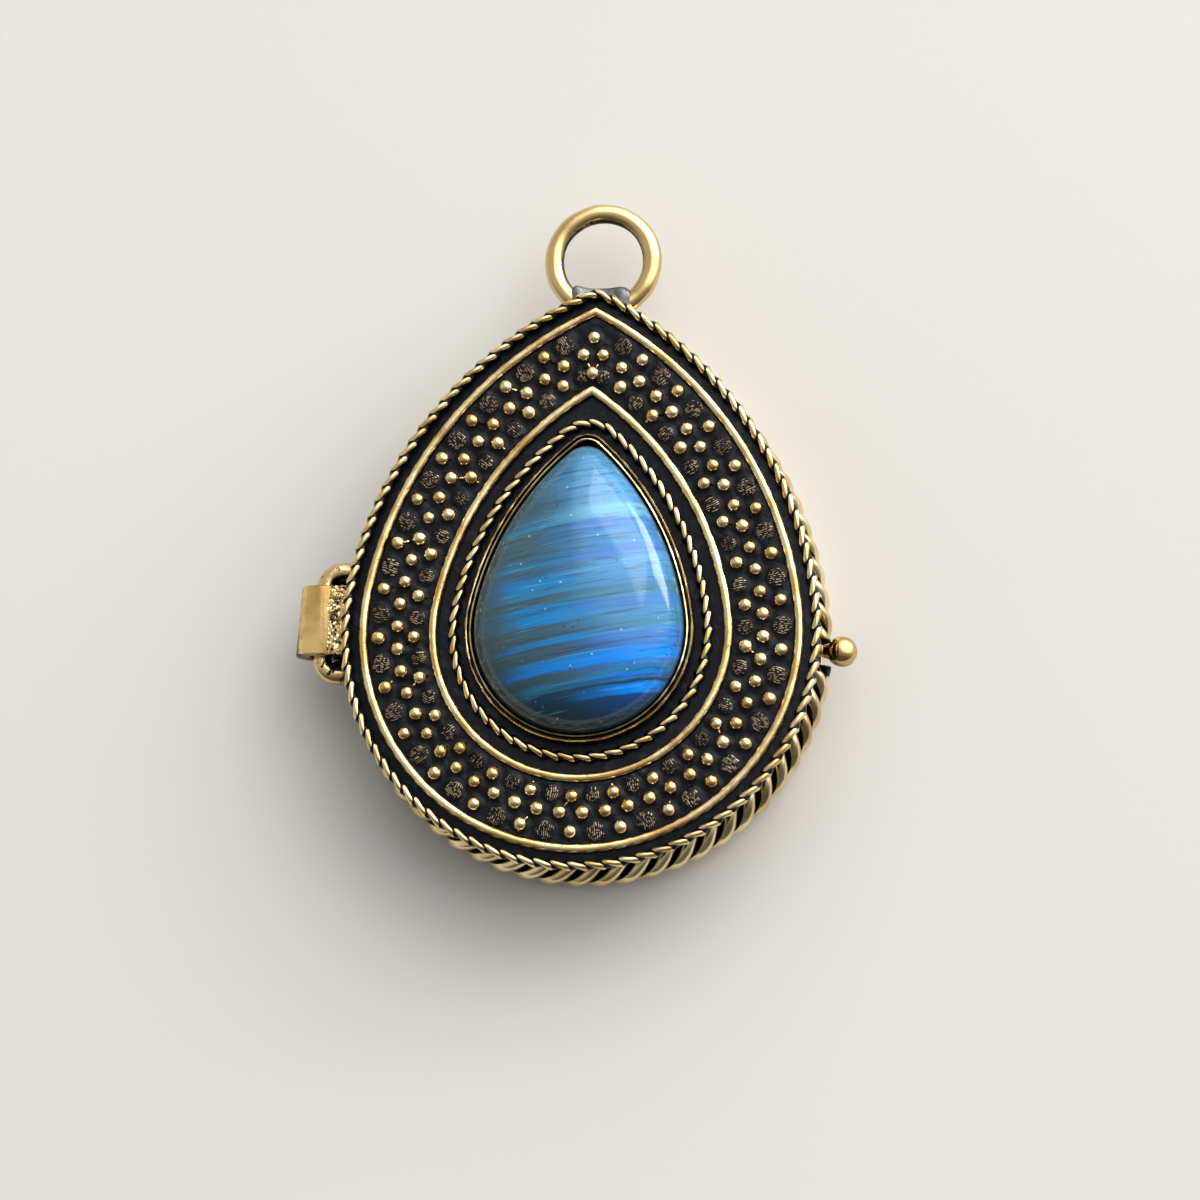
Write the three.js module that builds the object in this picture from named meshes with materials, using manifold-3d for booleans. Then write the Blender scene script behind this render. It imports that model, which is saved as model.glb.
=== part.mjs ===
// Amulet box pendant: a teardrop locket with a set stone, a hinged lid, a push catch and a bail ring.
// Millimetres. The back lies on z = 0, the stone looks along +Z and the bail ring is at +Y.
// The origin is the centre of the round end of the teardrop, on the back.

import * as THREE from 'three';
import { mergeVertices } from 'three/addons/utils/BufferGeometryUtils.js';
import Module from 'manifold-3d';

const wasm = await Module();
wasm.setup();

// Stone. Its outline is a round end, two long side arcs and a point, and every other outline
// is this one grown by an offset.
const STONE_WIDTH = 18;
const STONE_LENGTH = 25.5; // from the round end to where the side arcs would cross
const STONE_SIDE_RADIUS = 24.2;
const STONE_TIP_RADIUS = 3;
const STONE_GIRDLE = 0.7;
const STONE_DOME = 4.6;
const STONE_DOME_FULLNESS = 2.3; // 2 is an ellipse, more is squarer

// Bezel that holds the stone, and the ledge inside it
const BEZEL_CLEARANCE = 0.1;
const BEZEL_WALL = 0.6;
const BEZEL_HEIGHT = 1.8;
const BEZEL_RIM = 0.25; // width of the flat rim after the outside is filed down
const BEZEL_TIP_RADIUS = 1.2; // at the stone's outline
const BEARING_WIDTH = 1.2;
const BEARING_HEIGHT = 0.6;

// Twisted wires and plain wires on the lid: offset of the centre line, and the wire's size
const STONE_ROPE_OFFSET = 1.85;
const STONE_ROPE_DIAMETER = 0.95;
const INNER_WIRE_OFFSET = 3.6;
const OUTER_WIRE_OFFSET = 9.6;
const BORDER_WIRE_DIAMETER = 0.8;
const LID_ROPE_OFFSET = 10.95;
const LID_ROPE_DIAMETER = 1.15;
const LID_ROPE_TIP_RADIUS = 1.5;

// Granule field between the two plain wires
const FIELD_THICKNESS = 0.3;
const FIELD_CLEARANCE = 0.05;
const GRANULE_UNITS = 28; // four granules in each
const GRANULE_DIAMETER = 1.15;
const GRANULE_SUNK = 0.3; // depth of a granule's foot in the solder
const INNER_ROW_OFFSET = 5.2;
const MIDDLE_ROW_OFFSET = 6.6;
const OUTER_ROW_OFFSET = 8.2;

// Lid
const LID_THICKNESS = 0.8;
const LID_EDGE = 0.25; // from the centre of the edge rope to the edge of the plate
const SKIRT_HEIGHT = 1;
const LID_GAP = 0.1; // between the skirt and the case wall

// Case
const BACK_THICKNESS = 0.8;
const BACK_OFFSET = 10.9;
const WALL_OFFSET = 8.1;
const WALL_THICKNESS = 0.8;
const WALL_HEIGHT = 6.1;
const WALL_TIP_RADIUS = 2.3;
const COLLAR_THICKNESS = 0.65;
const COLLAR_CLEARANCE = 0.15;
const COLLAR_HEIGHT = 7;
const CASE_ROPE_DIAMETER = 3.6;
const CASE_ROPE_STRANDS = 4;
const CASE_ROPE_CREST_SPACING = 2.05; // along the rope
const CASE_ROPE_CREST_WIDTH = 0.9; // of the rounded top of each strand, across the rope
const CASE_ROPE_GROOVE = 0.75; // depth between two strands
const CASE_ROPE_FLAT = 0.1; // filed off below, where the rope is soldered to the back
const CASE_ROPE_BREAK = 3; // opening in the rope at the catch, along the rope
const SEAT_CLEARANCE = 0.05; // left between curved faces that are soldered together

// Hinge
const HINGE_Y = 0.6;
const HINGE_WIRE_DIAMETER = 1.6;
const HINGE_LOOP_LENGTH = 10.6;
const HINGE_CORNER_RADIUS = 1.4;
const HINGE_CLEARANCE = 0.2;
const HINGE_EDGE_GAP = 0.35;
const HINGE_SOLDER_GAP = 0.3;
const STRAP_WIDTH = 6;
const STRAP_THICKNESS = 0.9;
const STRAP_CURL_END = 330; // degrees round the wire, from the right, through the top and the left

// Catch
const CATCH_Y = -0.5;
const CATCH_HEIGHT = 5.5;
const CATCH_TRAVEL = 0.8;
const BALL_DIAMETER = 2.5;
const BALL_STANDOFF = 3.65; // from the wall to the ball
const STEM_DIAMETER = 1;
const STEM_HEAD_DIAMETER = 1.8;
const STEM_HEAD_THICKNESS = 0.4;
const STEM_CLEARANCE = 0.15;
const BUSH_WALL = 0.35;
const BUSH_INSET = 0.15;
const BUSH_FLANGE_WIDTH = 0.35;
const BUSH_FLANGE_THICKNESS = 0.5;
const KEEPER_THICKNESS = 0.5;
const KEEPER_FRAME = 0.6;
const KEEPER_CLEARANCE = 0.2;
const SPRING_THICKNESS = 0.4;
const SPRING_HEIGHT = 2;
const SPRING_NOSE_WIDTH = 1.6;
const SPRING_NOSE_BITE = 0.3; // how far the nose reaches into the keeper's window
const SPRING_FREE_END = 1.5;
const SPRING_FOOT_START = 5.7;
const SPRING_FOOT_LENGTH = 2;

// Bail ring
const BAIL_WIRE_DIAMETER = 1.64;
const BAIL_EYE_DIAMETER = 6.86;
const BAIL_HEIGHT = 5.6;
const BAIL_STANDOFF = 3; // from the wall to the centre line of the ring's foot
const SADDLE_WIDTH = 3.9;
const SADDLE_SKIN = 0.28;
const SADDLE_WRAP = 1.2; // how far the saddle comes down the shoulders of the wall

// Facets
const SIDE_STEPS = 10;
const TIP_STEPS = 4;
const BOTTOM_STEPS = 24;
const WIRE_SIDES = 8;
const CASE_ROPE_CREST_STEPS = 4;
const ROUND_STEPS = 16;
const DOME_STEPS = 7;
const GRANULE_SIDES = 6;
const GRANULE_RINGS = 4;
const LOOP_STEPS = 32;
const RING_STEPS = 32;

// Heights of the stack, from the back up
const wallTop = BACK_THICKNESS + WALL_HEIGHT;
const skirtBottom = wallTop + LID_GAP;
const lidBottom = skirtBottom + SKIRT_HEIGHT;
const lidTop = lidBottom + LID_THICKNESS;
const bearingTop = lidTop + BEARING_HEIGHT;

// Teardrop geometry. The right side arc is centred left of the axis and joins the round end
// at the blend angle.
const roundRadius = STONE_WIDTH / 2;
const sideShift = STONE_SIDE_RADIUS - roundRadius;
const pointHeight = STONE_LENGTH - roundRadius;
const blendAngle = Math.asin(
  (STONE_SIDE_RADIUS ** 2 - sideShift ** 2 - pointHeight ** 2) / (2 * pointHeight * sideShift),
);
const sideCentreX = -sideShift * Math.cos(blendAngle);
const sideCentreY = -sideShift * Math.sin(blendAngle);

// Height of the centre of a tip of this radius, on the outline grown by the offset
function tipCentre(offset, radius) {
  return sideCentreY + Math.sqrt((STONE_SIDE_RADIUS + offset - radius) ** 2 - sideCentreX ** 2);
}

// Points along an arc, without its last one
function arcPoints(x, y, radius, from, to, steps) {
  return Array.from({ length: steps }, (_, i) => {
    const angle = from + ((to - from) * i) / steps;
    return new THREE.Vector2(x + radius * Math.cos(angle), y + radius * Math.sin(angle));
  });
}

// Arcs of the teardrop grown by an offset, counter-clockwise from the blend on the right: right
// side, tip, left side and round end. Each is [x, y, radius, from, to]. `tip` is the radius of
// the tip where the offset is 0, and a sharp tip has none.
function teardropArcs(offset, tip) {
  const radius = tip === null ? 0 : tip + offset;
  const side = STONE_SIDE_RADIUS + offset;
  const meet = Math.acos(-sideCentreX / (side - radius));
  return [
    [sideCentreX, sideCentreY, side, blendAngle, meet],
    [0, tipCentre(offset, radius), radius, meet, Math.PI - meet],
    [-sideCentreX, sideCentreY, side, Math.PI - meet, Math.PI - blendAngle],
    [0, 0, roundRadius + offset, Math.PI - blendAngle, 2 * Math.PI + blendAngle],
  ];
}

// Points of the teardrop grown by an offset
function teardrop(offset, tip = null) {
  const steps = [SIDE_STEPS, tip === null ? 0 : TIP_STEPS, SIDE_STEPS, BOTTOM_STEPS];
  return teardropArcs(offset, tip).flatMap((arc, i) => arcPoints(...arc, steps[i]));
}

// Flat plate between two heights, in the teardrop grown by `outer`, open inside `inner`
function plate(outer, inner, bottom, top, tip = null) {
  const shape = new THREE.Shape(teardrop(outer, tip));
  if (inner !== null) shape.holes.push(new THREE.Path(teardrop(inner, tip)));
  const geometry = new THREE.ExtrudeGeometry(shape, { depth: top - bottom, bevelEnabled: false });
  return geometry.translate(0, 0, bottom);
}

// Middle of a loop
function middleOf(loop) {
  return loop.reduce((sum, point) => sum.add(point), new THREE.Vector3()).divideScalar(loop.length);
}

// Skin over a row of closed loops of equal length. A closed row joins its last loop to its
// first, and an open one is filled with a fan at both ends.
function skin(loops, closed) {
  const size = loops[0].length;
  const points = loops.flat();
  const faces = [];
  const rows = closed ? loops.length : loops.length - 1;
  for (let j = 0; j < rows; j += 1) {
    for (let i = 0; i < size; i += 1) {
      const a = j * size + i;
      const b = j * size + ((i + 1) % size);
      const c = ((j + 1) % loops.length) * size + ((i + 1) % size);
      const d = ((j + 1) % loops.length) * size + i;
      faces.push(a, b, c, a, c, d);
    }
  }
  if (!closed) {
    const first = points.push(middleOf(loops[0])) - 1;
    const last = points.push(middleOf(loops.at(-1))) - 1;
    const lastLoop = (loops.length - 1) * size;
    for (let i = 0; i < size; i += 1) {
      const next = (i + 1) % size;
      faces.push(first, next, i, last, lastLoop + i, lastLoop + next);
    }
  }
  const geometry = new THREE.BufferGeometry().setFromPoints(points);
  geometry.setIndex(faces);
  return geometry;
}

// Ring that keeps one section all round the teardrop. The section lists [offset, height].
function ringOf(section, tip = null) {
  const loops = section.map(([offset, height]) =>
    teardrop(offset, tip).map((point) => new THREE.Vector3(point.x, point.y, height)));
  return skin(loops, true);
}

// Round wire with a flat side down, its centre line at an offset
function wireOf(offset, bottom, diameter, tip = null) {
  const radius = diameter / 2;
  const centre = bottom + radius * Math.cos(Math.PI / WIRE_SIDES);
  const section = Array.from({ length: WIRE_SIDES }, (_, i) => {
    const angle = -Math.PI / 2 + ((i + 0.5) * 2 * Math.PI) / WIRE_SIDES;
    return [offset + radius * Math.cos(angle), centre + radius * Math.sin(angle)];
  });
  return ringOf(section, tip);
}

// Box between two corners
function boxOf(low, high) {
  const size = high.map((value, i) => value - low[i]);
  const middle = high.map((value, i) => (value + low[i]) / 2);
  return new THREE.BoxGeometry(...size).translate(...middle);
}

// Solid of revolution about a line along X. The profile lists [radius, x].
function turned(profile, y, z) {
  const points = profile.map(([radius, x]) => new THREE.Vector2(radius, x));
  return new THREE.LatheGeometry(points, ROUND_STEPS).rotateZ(-Math.PI / 2).translate(0, y, z);
}

// Round bar along X
function barOf(radius, from, to, y, z) {
  return turned([[0, from], [radius, from], [radius, to], [0, to]], y, z);
}

// Geometry as a solid that can be cut and joined, and back
function solid(geometry) {
  const bare = geometry.clone();
  bare.deleteAttribute('normal');
  bare.deleteAttribute('uv');
  const merged = mergeVertices(bare);
  return new wasm.Manifold(new wasm.Mesh({
    numProp: 3,
    vertProperties: new Float32Array(merged.attributes.position.array),
    triVerts: new Uint32Array(merged.index.array),
  }));
}

function geometryOf(body) {
  const mesh = body.getMesh();
  const geometry = new THREE.BufferGeometry();
  geometry.setAttribute('position', new THREE.BufferAttribute(mesh.vertProperties, 3));
  geometry.setIndex(new THREE.BufferAttribute(mesh.triVerts, 1));
  geometry.computeVertexNormals();
  return geometry;
}

const MATERIALS = {
  wornBrass: { color: 0xc9a25a, roughness: 0.35, metalness: 1 },
  polishedBrass: { color: 0xd9b873, roughness: 0.2, metalness: 1 },
  darkBrass: { color: 0x2b2822, roughness: 0.55, metalness: 0.9 },
  blueStone: { color: 0x4a8fb5, roughness: 0.12, metalness: 0 },
};

const pendant = new THREE.Group();
const caseBody = new THREE.Group();
const lidBody = new THREE.Group();
const catchBody = new THREE.Group();
pendant.add(caseBody, lidBody, catchBody);

function add(group, name, geometry, finish) {
  const mesh = new THREE.Mesh(geometry, new THREE.MeshStandardMaterial(MATERIALS[finish]));
  mesh.name = name;
  group.add(mesh);
}

// Tip radii at offset 0 of the outlines that round their tips
const wallTip = WALL_TIP_RADIUS - WALL_OFFSET;
const lidRopeTip = LID_ROPE_TIP_RADIUS - LID_ROPE_OFFSET;

// Catch line, from the inside out. The bush goes through the wall and the collar.
const wallInner = WALL_OFFSET - WALL_THICKNESS;
const collarOuter = wallInner - COLLAR_CLEARANCE;
const collarInner = collarOuter - COLLAR_THICKNESS;
const stemRadius = STEM_DIAMETER / 2;
const stemHeadRadius = STEM_HEAD_DIAMETER / 2;
const ballRadius = BALL_DIAMETER / 2;
const bushBore = stemRadius + STEM_CLEARANCE;
const bushRadius = bushBore + BUSH_WALL;
const wallFaceX = roundRadius + WALL_OFFSET;
const bushInnerX = roundRadius + collarInner - BUSH_INSET;
const bushOuterX = wallFaceX + BUSH_FLANGE_THICKNESS;
const stemHeadX = bushInnerX - KEEPER_CLEARANCE;
const stemInnerX = stemHeadX - STEM_HEAD_THICKNESS;
const keeperOuterX = stemInnerX - KEEPER_CLEARANCE;
const keeperInnerX = keeperOuterX - KEEPER_THICKNESS;
const windowHalf = stemHeadRadius + KEEPER_CLEARANCE;
const bushHole = barOf(
  bushRadius + SEAT_CLEARANCE, bushInnerX - BUSH_INSET, bushOuterX + BUSH_INSET, CATCH_Y, CATCH_HEIGHT,
);

// Case: back, wall and the collar that guides the lid
function makeCase() {
  add(caseBody, 'back_plate', plate(BACK_OFFSET, null, 0, BACK_THICKNESS, wallTip), 'wornBrass');
  const wall = plate(WALL_OFFSET, wallInner, BACK_THICKNESS, wallTop, wallTip);
  add(caseBody, 'case_wall', geometryOf(solid(wall).subtract(solid(bushHole))), 'darkBrass');
  const collar = plate(collarOuter, collarInner, BACK_THICKNESS, BACK_THICKNESS + COLLAR_HEIGHT, wallTip);
  add(caseBody, 'inner_collar', geometryOf(solid(collar).subtract(solid(bushHole))), 'wornBrass');
}

// Section of the heavy rope as [reach, turn]: the top of each strand, then the groove after it
function ropeSection() {
  const radius = CASE_ROPE_DIAMETER / 2;
  const top = CASE_ROPE_CREST_WIDTH / CASE_ROPE_DIAMETER;
  const share = (2 * Math.PI) / CASE_ROPE_STRANDS;
  return Array.from({ length: CASE_ROPE_STRANDS }, (_, i) => [
    [radius, i * share - top],
    [radius, i * share + top],
    [radius - CASE_ROPE_GROOVE, (i + 0.5) * share],
  ]).flat();
}

// Heavy rope round the case, open at the catch. Its strands are twisted left-handed: each climbs
// from the outside over the top to the wall as it runs counter-clockwise.
function makeCaseRope() {
  const radius = CASE_ROPE_DIAMETER / 2;
  const offset = WALL_OFFSET + SEAT_CLEARANCE + radius;
  const height = BACK_THICKNESS + radius - CASE_ROPE_FLAT;
  const [right, tip, left, round] = teardropArcs(offset, wallTip);
  const [x, y, size, roundFrom, roundTo] = round;
  const catchTurn = Math.asin(CATCH_Y / size);
  const breakTurn = CASE_ROPE_BREAK / 2 / size;
  const arcs = [
    [x, y, size, catchTurn + breakTurn, roundTo - 2 * Math.PI],
    right,
    tip,
    left,
    [x, y, size, roundFrom, 2 * Math.PI + catchTurn - breakTurn],
  ];
  const lengths = arcs.map((arc) => arc[2] * (arc[4] - arc[3]));
  const length = lengths.reduce((sum, value) => sum + value);
  const crests = Math.round(length / CASE_ROPE_CREST_SPACING);
  const steps = crests * CASE_ROPE_CREST_STEPS;
  const section = ropeSection();
  const loops = Array.from({ length: steps + 1 }, (_, step) => {
    let along = (length * step) / steps;
    let index = 0;
    while (index < arcs.length - 1 && along > lengths[index]) {
      along -= lengths[index];
      index += 1;
    }
    const [arcX, arcY, arcRadius, from] = arcs[index];
    const angle = from + along / arcRadius;
    const twist = (2 * Math.PI * step) / (CASE_ROPE_STRANDS * CASE_ROPE_CREST_STEPS);
    return section.map(([reach, turn]) => {
      const out = arcRadius + reach * Math.cos(twist - turn);
      const up = Math.max(height + reach * Math.sin(twist - turn), BACK_THICKNESS);
      return new THREE.Vector3(arcX + out * Math.cos(angle), arcY + out * Math.sin(angle), up);
    });
  });
  add(caseBody, 'case_rope', skin(loops, false), 'darkBrass');
}

// Bail ring, and the saddle that wraps its foot and sits on the point of the wall
function makeBail() {
  const wire = BAIL_WIRE_DIAMETER / 2;
  const radius = BAIL_EYE_DIAMETER / 2 + wire;
  const wallPoint = tipCentre(WALL_OFFSET, WALL_TIP_RADIUS) + WALL_TIP_RADIUS;
  const footY = wallPoint + BAIL_STANDOFF;
  const ringAt = (thickness) =>
    new THREE.TorusGeometry(radius, thickness, WIRE_SIDES + 2, RING_STEPS)
      .translate(0, footY + radius, BAIL_HEIGHT);
  add(caseBody, 'bail_ring', ringAt(wire), 'polishedBrass');
  const half = wire + SADDLE_SKIN;
  const block = boxOf(
    [-SADDLE_WIDTH / 2, wallPoint - SADDLE_WRAP, BAIL_HEIGHT - half],
    [SADDLE_WIDTH / 2, footY + half, BAIL_HEIGHT + half],
  );
  const wallSpace = plate(WALL_OFFSET + SEAT_CLEARANCE, null, 0, lidTop, wallTip);
  const saddle = solid(block).subtract(solid(wallSpace)).subtract(solid(ringAt(wire + SEAT_CLEARANCE)));
  add(caseBody, 'bail_saddle', geometryOf(saddle), 'darkBrass');
}

// Lid: plate, skirt, edge rope and the two plain wires that frame the granules
function makeLid() {
  const edge = LID_ROPE_OFFSET + LID_EDGE;
  add(lidBody, 'lid_plate', plate(edge, null, lidBottom, lidTop, lidRopeTip), 'darkBrass');
  add(lidBody, 'lid_skirt', plate(WALL_OFFSET, wallInner, skirtBottom, lidBottom, wallTip), 'darkBrass');
  const edgeRope = wireOf(LID_ROPE_OFFSET, lidTop, LID_ROPE_DIAMETER, lidRopeTip);
  add(lidBody, 'lid_edge_rope', edgeRope, 'wornBrass');
  const outerWire = wireOf(OUTER_WIRE_OFFSET, lidTop, BORDER_WIRE_DIAMETER);
  add(lidBody, 'outer_border_wire', outerWire, 'wornBrass');
  const innerWire = wireOf(INNER_WIRE_OFFSET, lidTop, BORDER_WIRE_DIAMETER);
  add(lidBody, 'inner_border_wire', innerWire, 'wornBrass');
}

// Place on the outline grown by `offset`, square to the middle row at a distance along that row
// from the point. A negative distance is on the left.
function fieldPoint(distance, offset) {
  const along = Math.abs(distance);
  const sideRadius = STONE_SIDE_RADIUS + MIDDLE_ROW_OFFSET;
  const pointAngle = Math.acos(-sideCentreX / sideRadius);
  const sideLength = sideRadius * (pointAngle - blendAngle);
  if (along === 0) return new THREE.Vector2(0, tipCentre(offset, 0));
  const onSide = along < sideLength;
  const angle = onSide
    ? pointAngle - along / sideRadius
    : blendAngle - (along - sideLength) / (roundRadius + MIDDLE_ROW_OFFSET);
  const radius = (onSide ? STONE_SIDE_RADIUS : roundRadius) + offset;
  const x = (onSide ? sideCentreX : 0) + radius * Math.cos(angle);
  const y = (onSide ? sideCentreY : 0) + radius * Math.sin(angle);
  return new THREE.Vector2(Math.sign(distance) * x, y);
}

// Length of half the middle row, from the point to the bottom
function halfRowLength() {
  const sideRadius = STONE_SIDE_RADIUS + MIDDLE_ROW_OFFSET;
  const pointAngle = Math.acos(-sideCentreX / sideRadius);
  return sideRadius * (pointAngle - blendAngle)
    + (roundRadius + MIDDLE_ROW_OFFSET) * (Math.PI / 2 + blendAngle);
}

// Ground sheet with the granules in diamonds of four, one inside, two along the row, one outside
function makeGranuleField() {
  const wire = BORDER_WIRE_DIAMETER / 2 + FIELD_CLEARANCE;
  const sheetTop = lidTop + FIELD_THICKNESS;
  const sheet = plate(OUTER_WIRE_OFFSET - wire, INNER_WIRE_OFFSET + wire, lidTop, sheetTop);
  const radius = GRANULE_DIAMETER / 2;
  const granule = new THREE.SphereGeometry(radius, GRANULE_SIDES, GRANULE_RINGS).rotateX(Math.PI / 2);
  const height = sheetTop + radius - GRANULE_SUNK;
  const half = halfRowLength();
  const spacing = (2 * half) / GRANULE_UNITS;
  let field = solid(sheet);
  for (let unit = 0; unit < GRANULE_UNITS; unit += 1) {
    const middle = unit * spacing <= half ? unit * spacing : unit * spacing - 2 * half;
    const places = [
      fieldPoint(middle, INNER_ROW_OFFSET),
      fieldPoint(middle - spacing / 4, MIDDLE_ROW_OFFSET),
      fieldPoint(middle + spacing / 4, MIDDLE_ROW_OFFSET),
      fieldPoint(middle, OUTER_ROW_OFFSET),
    ];
    for (const place of places) {
      field = field.add(solid(granule.clone().translate(place.x, place.y, height)));
    }
  }
  add(lidBody, 'granule_field', geometryOf(field), 'wornBrass');
}

// Stone in its bezel, on a ledge, with a twisted wire round the foot of the bezel
function makeStone() {
  const bezelInner = BEZEL_CLEARANCE;
  const bezelOuter = BEZEL_CLEARANCE + BEZEL_WALL;
  const rimTop = lidTop + BEZEL_HEIGHT;
  const bezelSection = [
    [bezelInner, lidTop],
    [bezelOuter, lidTop],
    [bezelOuter, rimTop - (BEZEL_WALL - BEZEL_RIM)],
    [bezelInner + BEZEL_RIM, rimTop],
    [bezelInner, rimTop],
  ];
  add(lidBody, 'bezel_collar', ringOf(bezelSection, BEZEL_TIP_RADIUS), 'wornBrass');
  const bearingOuter = bezelInner - SEAT_CLEARANCE;
  const bearing = plate(bearingOuter, bearingOuter - BEARING_WIDTH, lidTop, bearingTop, STONE_TIP_RADIUS);
  add(lidBody, 'stone_bearing', bearing, 'darkBrass');
  const rope = wireOf(STONE_ROPE_OFFSET, lidTop, STONE_ROPE_DIAMETER, BEZEL_TIP_RADIUS);
  add(lidBody, 'stone_rope', rope, 'wornBrass');

  const girdleTop = bearingTop + STONE_GIRDLE;
  const outline = teardrop(0, STONE_TIP_RADIUS);
  const loops = [outline.map((point) => new THREE.Vector3(point.x, point.y, bearingTop))];
  for (let step = 0; step < DOME_STEPS; step += 1) {
    const angle = (step / DOME_STEPS) * (Math.PI / 2);
    const scale = Math.cos(angle) ** (2 / STONE_DOME_FULLNESS);
    const height = girdleTop + STONE_DOME * Math.sin(angle) ** (2 / STONE_DOME_FULLNESS);
    loops.push(outline.map((point) => new THREE.Vector3(point.x * scale, point.y * scale, height)));
  }
  const summit = new THREE.Vector3(0, 0, girdleTop + STONE_DOME);
  add(lidBody, 'stone', domed(loops, summit), 'blueStone');
}

// Dome over stacked loops, closed below by a fan and above by a summit
function domed(loops, summit) {
  const geometry = skin(loops, false);
  geometry.attributes.position.setXYZ(
    geometry.attributes.position.count - 1, summit.x, summit.y, summit.z,
  );
  return geometry;
}

// Hinge: a wire loop soldered to the wall, and a strap from the lid that curls round it
function makeHinge() {
  const wire = HINGE_WIRE_DIAMETER / 2;
  const inner = wire + HINGE_CLEARANCE;
  const outer = inner + STRAP_THICKNESS;
  const axisX = -(roundRadius + LID_ROPE_OFFSET + LID_EDGE + HINGE_EDGE_GAP + outer);
  const axisZ = lidBottom - outer;

  const legY = HINGE_LOOP_LENGTH / 2 - wire;
  const cornerY = legY - HINGE_CORNER_RADIUS;
  const cornerX = axisX + HINGE_CORNER_RADIUS;
  const legEnd = (y) => wallX(y) - HINGE_SOLDER_GAP;
  const at = (x, y) => new THREE.Vector3(x, HINGE_Y + y, axisZ);
  const path = new THREE.CurvePath();
  path.add(new THREE.LineCurve3(at(legEnd(HINGE_Y + legY), legY), at(cornerX, legY)));
  path.add(new THREE.QuadraticBezierCurve3(at(cornerX, legY), at(axisX, legY), at(axisX, cornerY)));
  path.add(new THREE.LineCurve3(at(axisX, cornerY), at(axisX, -cornerY)));
  path.add(new THREE.QuadraticBezierCurve3(at(axisX, -cornerY), at(axisX, -legY), at(cornerX, -legY)));
  path.add(new THREE.LineCurve3(at(cornerX, -legY), at(legEnd(HINGE_Y - legY), -legY)));
  const section = new THREE.Shape().absarc(0, 0, wire, 0, 2 * Math.PI);
  const loop = new THREE.ExtrudeGeometry(section, {
    steps: LOOP_STEPS, curveSegments: WIRE_SIDES / 2 + 1, extrudePath: path,
  });
  add(caseBody, 'hinge_loop', loop, 'polishedBrass');

  const tongueEnd = -wallFaceX - SEAT_CLEARANCE;
  const curlEnd = THREE.MathUtils.degToRad(STRAP_CURL_END);
  const profile = [
    new THREE.Vector2(tongueEnd, axisZ + inner),
    new THREE.Vector2(tongueEnd, axisZ + outer),
    ...arcPoints(axisX, axisZ, outer, Math.PI / 2, curlEnd, ROUND_STEPS),
    ...arcPoints(axisX, axisZ, inner, curlEnd, Math.PI / 2, ROUND_STEPS),
    new THREE.Vector2(axisX, axisZ + inner),
  ];
  const strap = new THREE.ExtrudeGeometry(new THREE.Shape(profile), {
    depth: STRAP_WIDTH, bevelEnabled: false,
  });
  strap.rotateX(Math.PI / 2).translate(0, HINGE_Y + STRAP_WIDTH / 2, 0);
  add(lidBody, 'hinge_strap', strap, 'polishedBrass');
}

// Left face of the wall at a height y
function wallX(y) {
  const sideRadius = STONE_SIDE_RADIUS + WALL_OFFSET;
  const roundWall = roundRadius + WALL_OFFSET;
  const onSide = y > roundWall * Math.sin(blendAngle);
  return onSide
    ? -sideCentreX - Math.sqrt(sideRadius ** 2 - (y - sideCentreY) ** 2)
    : -Math.sqrt(roundWall ** 2 - y ** 2);
}

// Catch: ball and stem in a bush, a sprung nose inside, and the keeper that hangs from the lid
function makeCatch() {
  const bush = turned([
    [bushBore, bushInnerX],
    [bushRadius, bushInnerX],
    [bushRadius, wallFaceX + SEAT_CLEARANCE],
    [bushRadius + BUSH_FLANGE_WIDTH, wallFaceX + SEAT_CLEARANCE],
    [bushRadius + BUSH_FLANGE_WIDTH, bushOuterX],
    [bushBore, bushOuterX],
    [bushBore, bushInnerX],
  ], CATCH_Y, CATCH_HEIGHT);
  add(caseBody, 'catch_bush', bush, 'wornBrass');

  const flat = Math.sqrt(ballRadius ** 2 - stemRadius ** 2);
  const ballX = wallFaceX + BALL_STANDOFF + ballRadius;
  const start = Math.PI - Math.asin(stemRadius / ballRadius);
  const ball = Array.from({ length: DOME_STEPS + 1 }, (_, i) => {
    const angle = start * (1 - i / (DOME_STEPS + 1));
    return [ballRadius * Math.sin(angle), ballX + ballRadius * Math.cos(angle)];
  });
  const ballProfile = [[0, ballX - flat], ...ball, [0, ballX + ballRadius]];
  add(catchBody, 'catch_ball', turned(ballProfile, CATCH_Y, CATCH_HEIGHT), 'polishedBrass');
  const stem = turned([
    [0, stemInnerX],
    [stemHeadRadius, stemInnerX],
    [stemHeadRadius, stemHeadX],
    [stemRadius, stemHeadX],
    [stemRadius, ballX - flat],
    [0, ballX - flat],
  ], CATCH_Y, CATCH_HEIGHT);
  add(catchBody, 'catch_stem', stem, 'wornBrass');

  const frameHalf = windowHalf + KEEPER_FRAME;
  const keeper = solid(boxOf(
    [keeperInnerX, CATCH_Y - frameHalf, CATCH_HEIGHT - frameHalf],
    [keeperOuterX, CATCH_Y + frameHalf, lidBottom],
  ));
  const window = solid(boxOf(
    [keeperInnerX - KEEPER_THICKNESS, CATCH_Y - windowHalf, CATCH_HEIGHT - windowHalf],
    [keeperOuterX + KEEPER_THICKNESS, CATCH_Y + windowHalf, CATCH_HEIGHT + windowHalf],
  ));
  add(lidBody, 'catch_keeper', geometryOf(keeper.subtract(window)), 'wornBrass');
  makeSpring();
}

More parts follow.
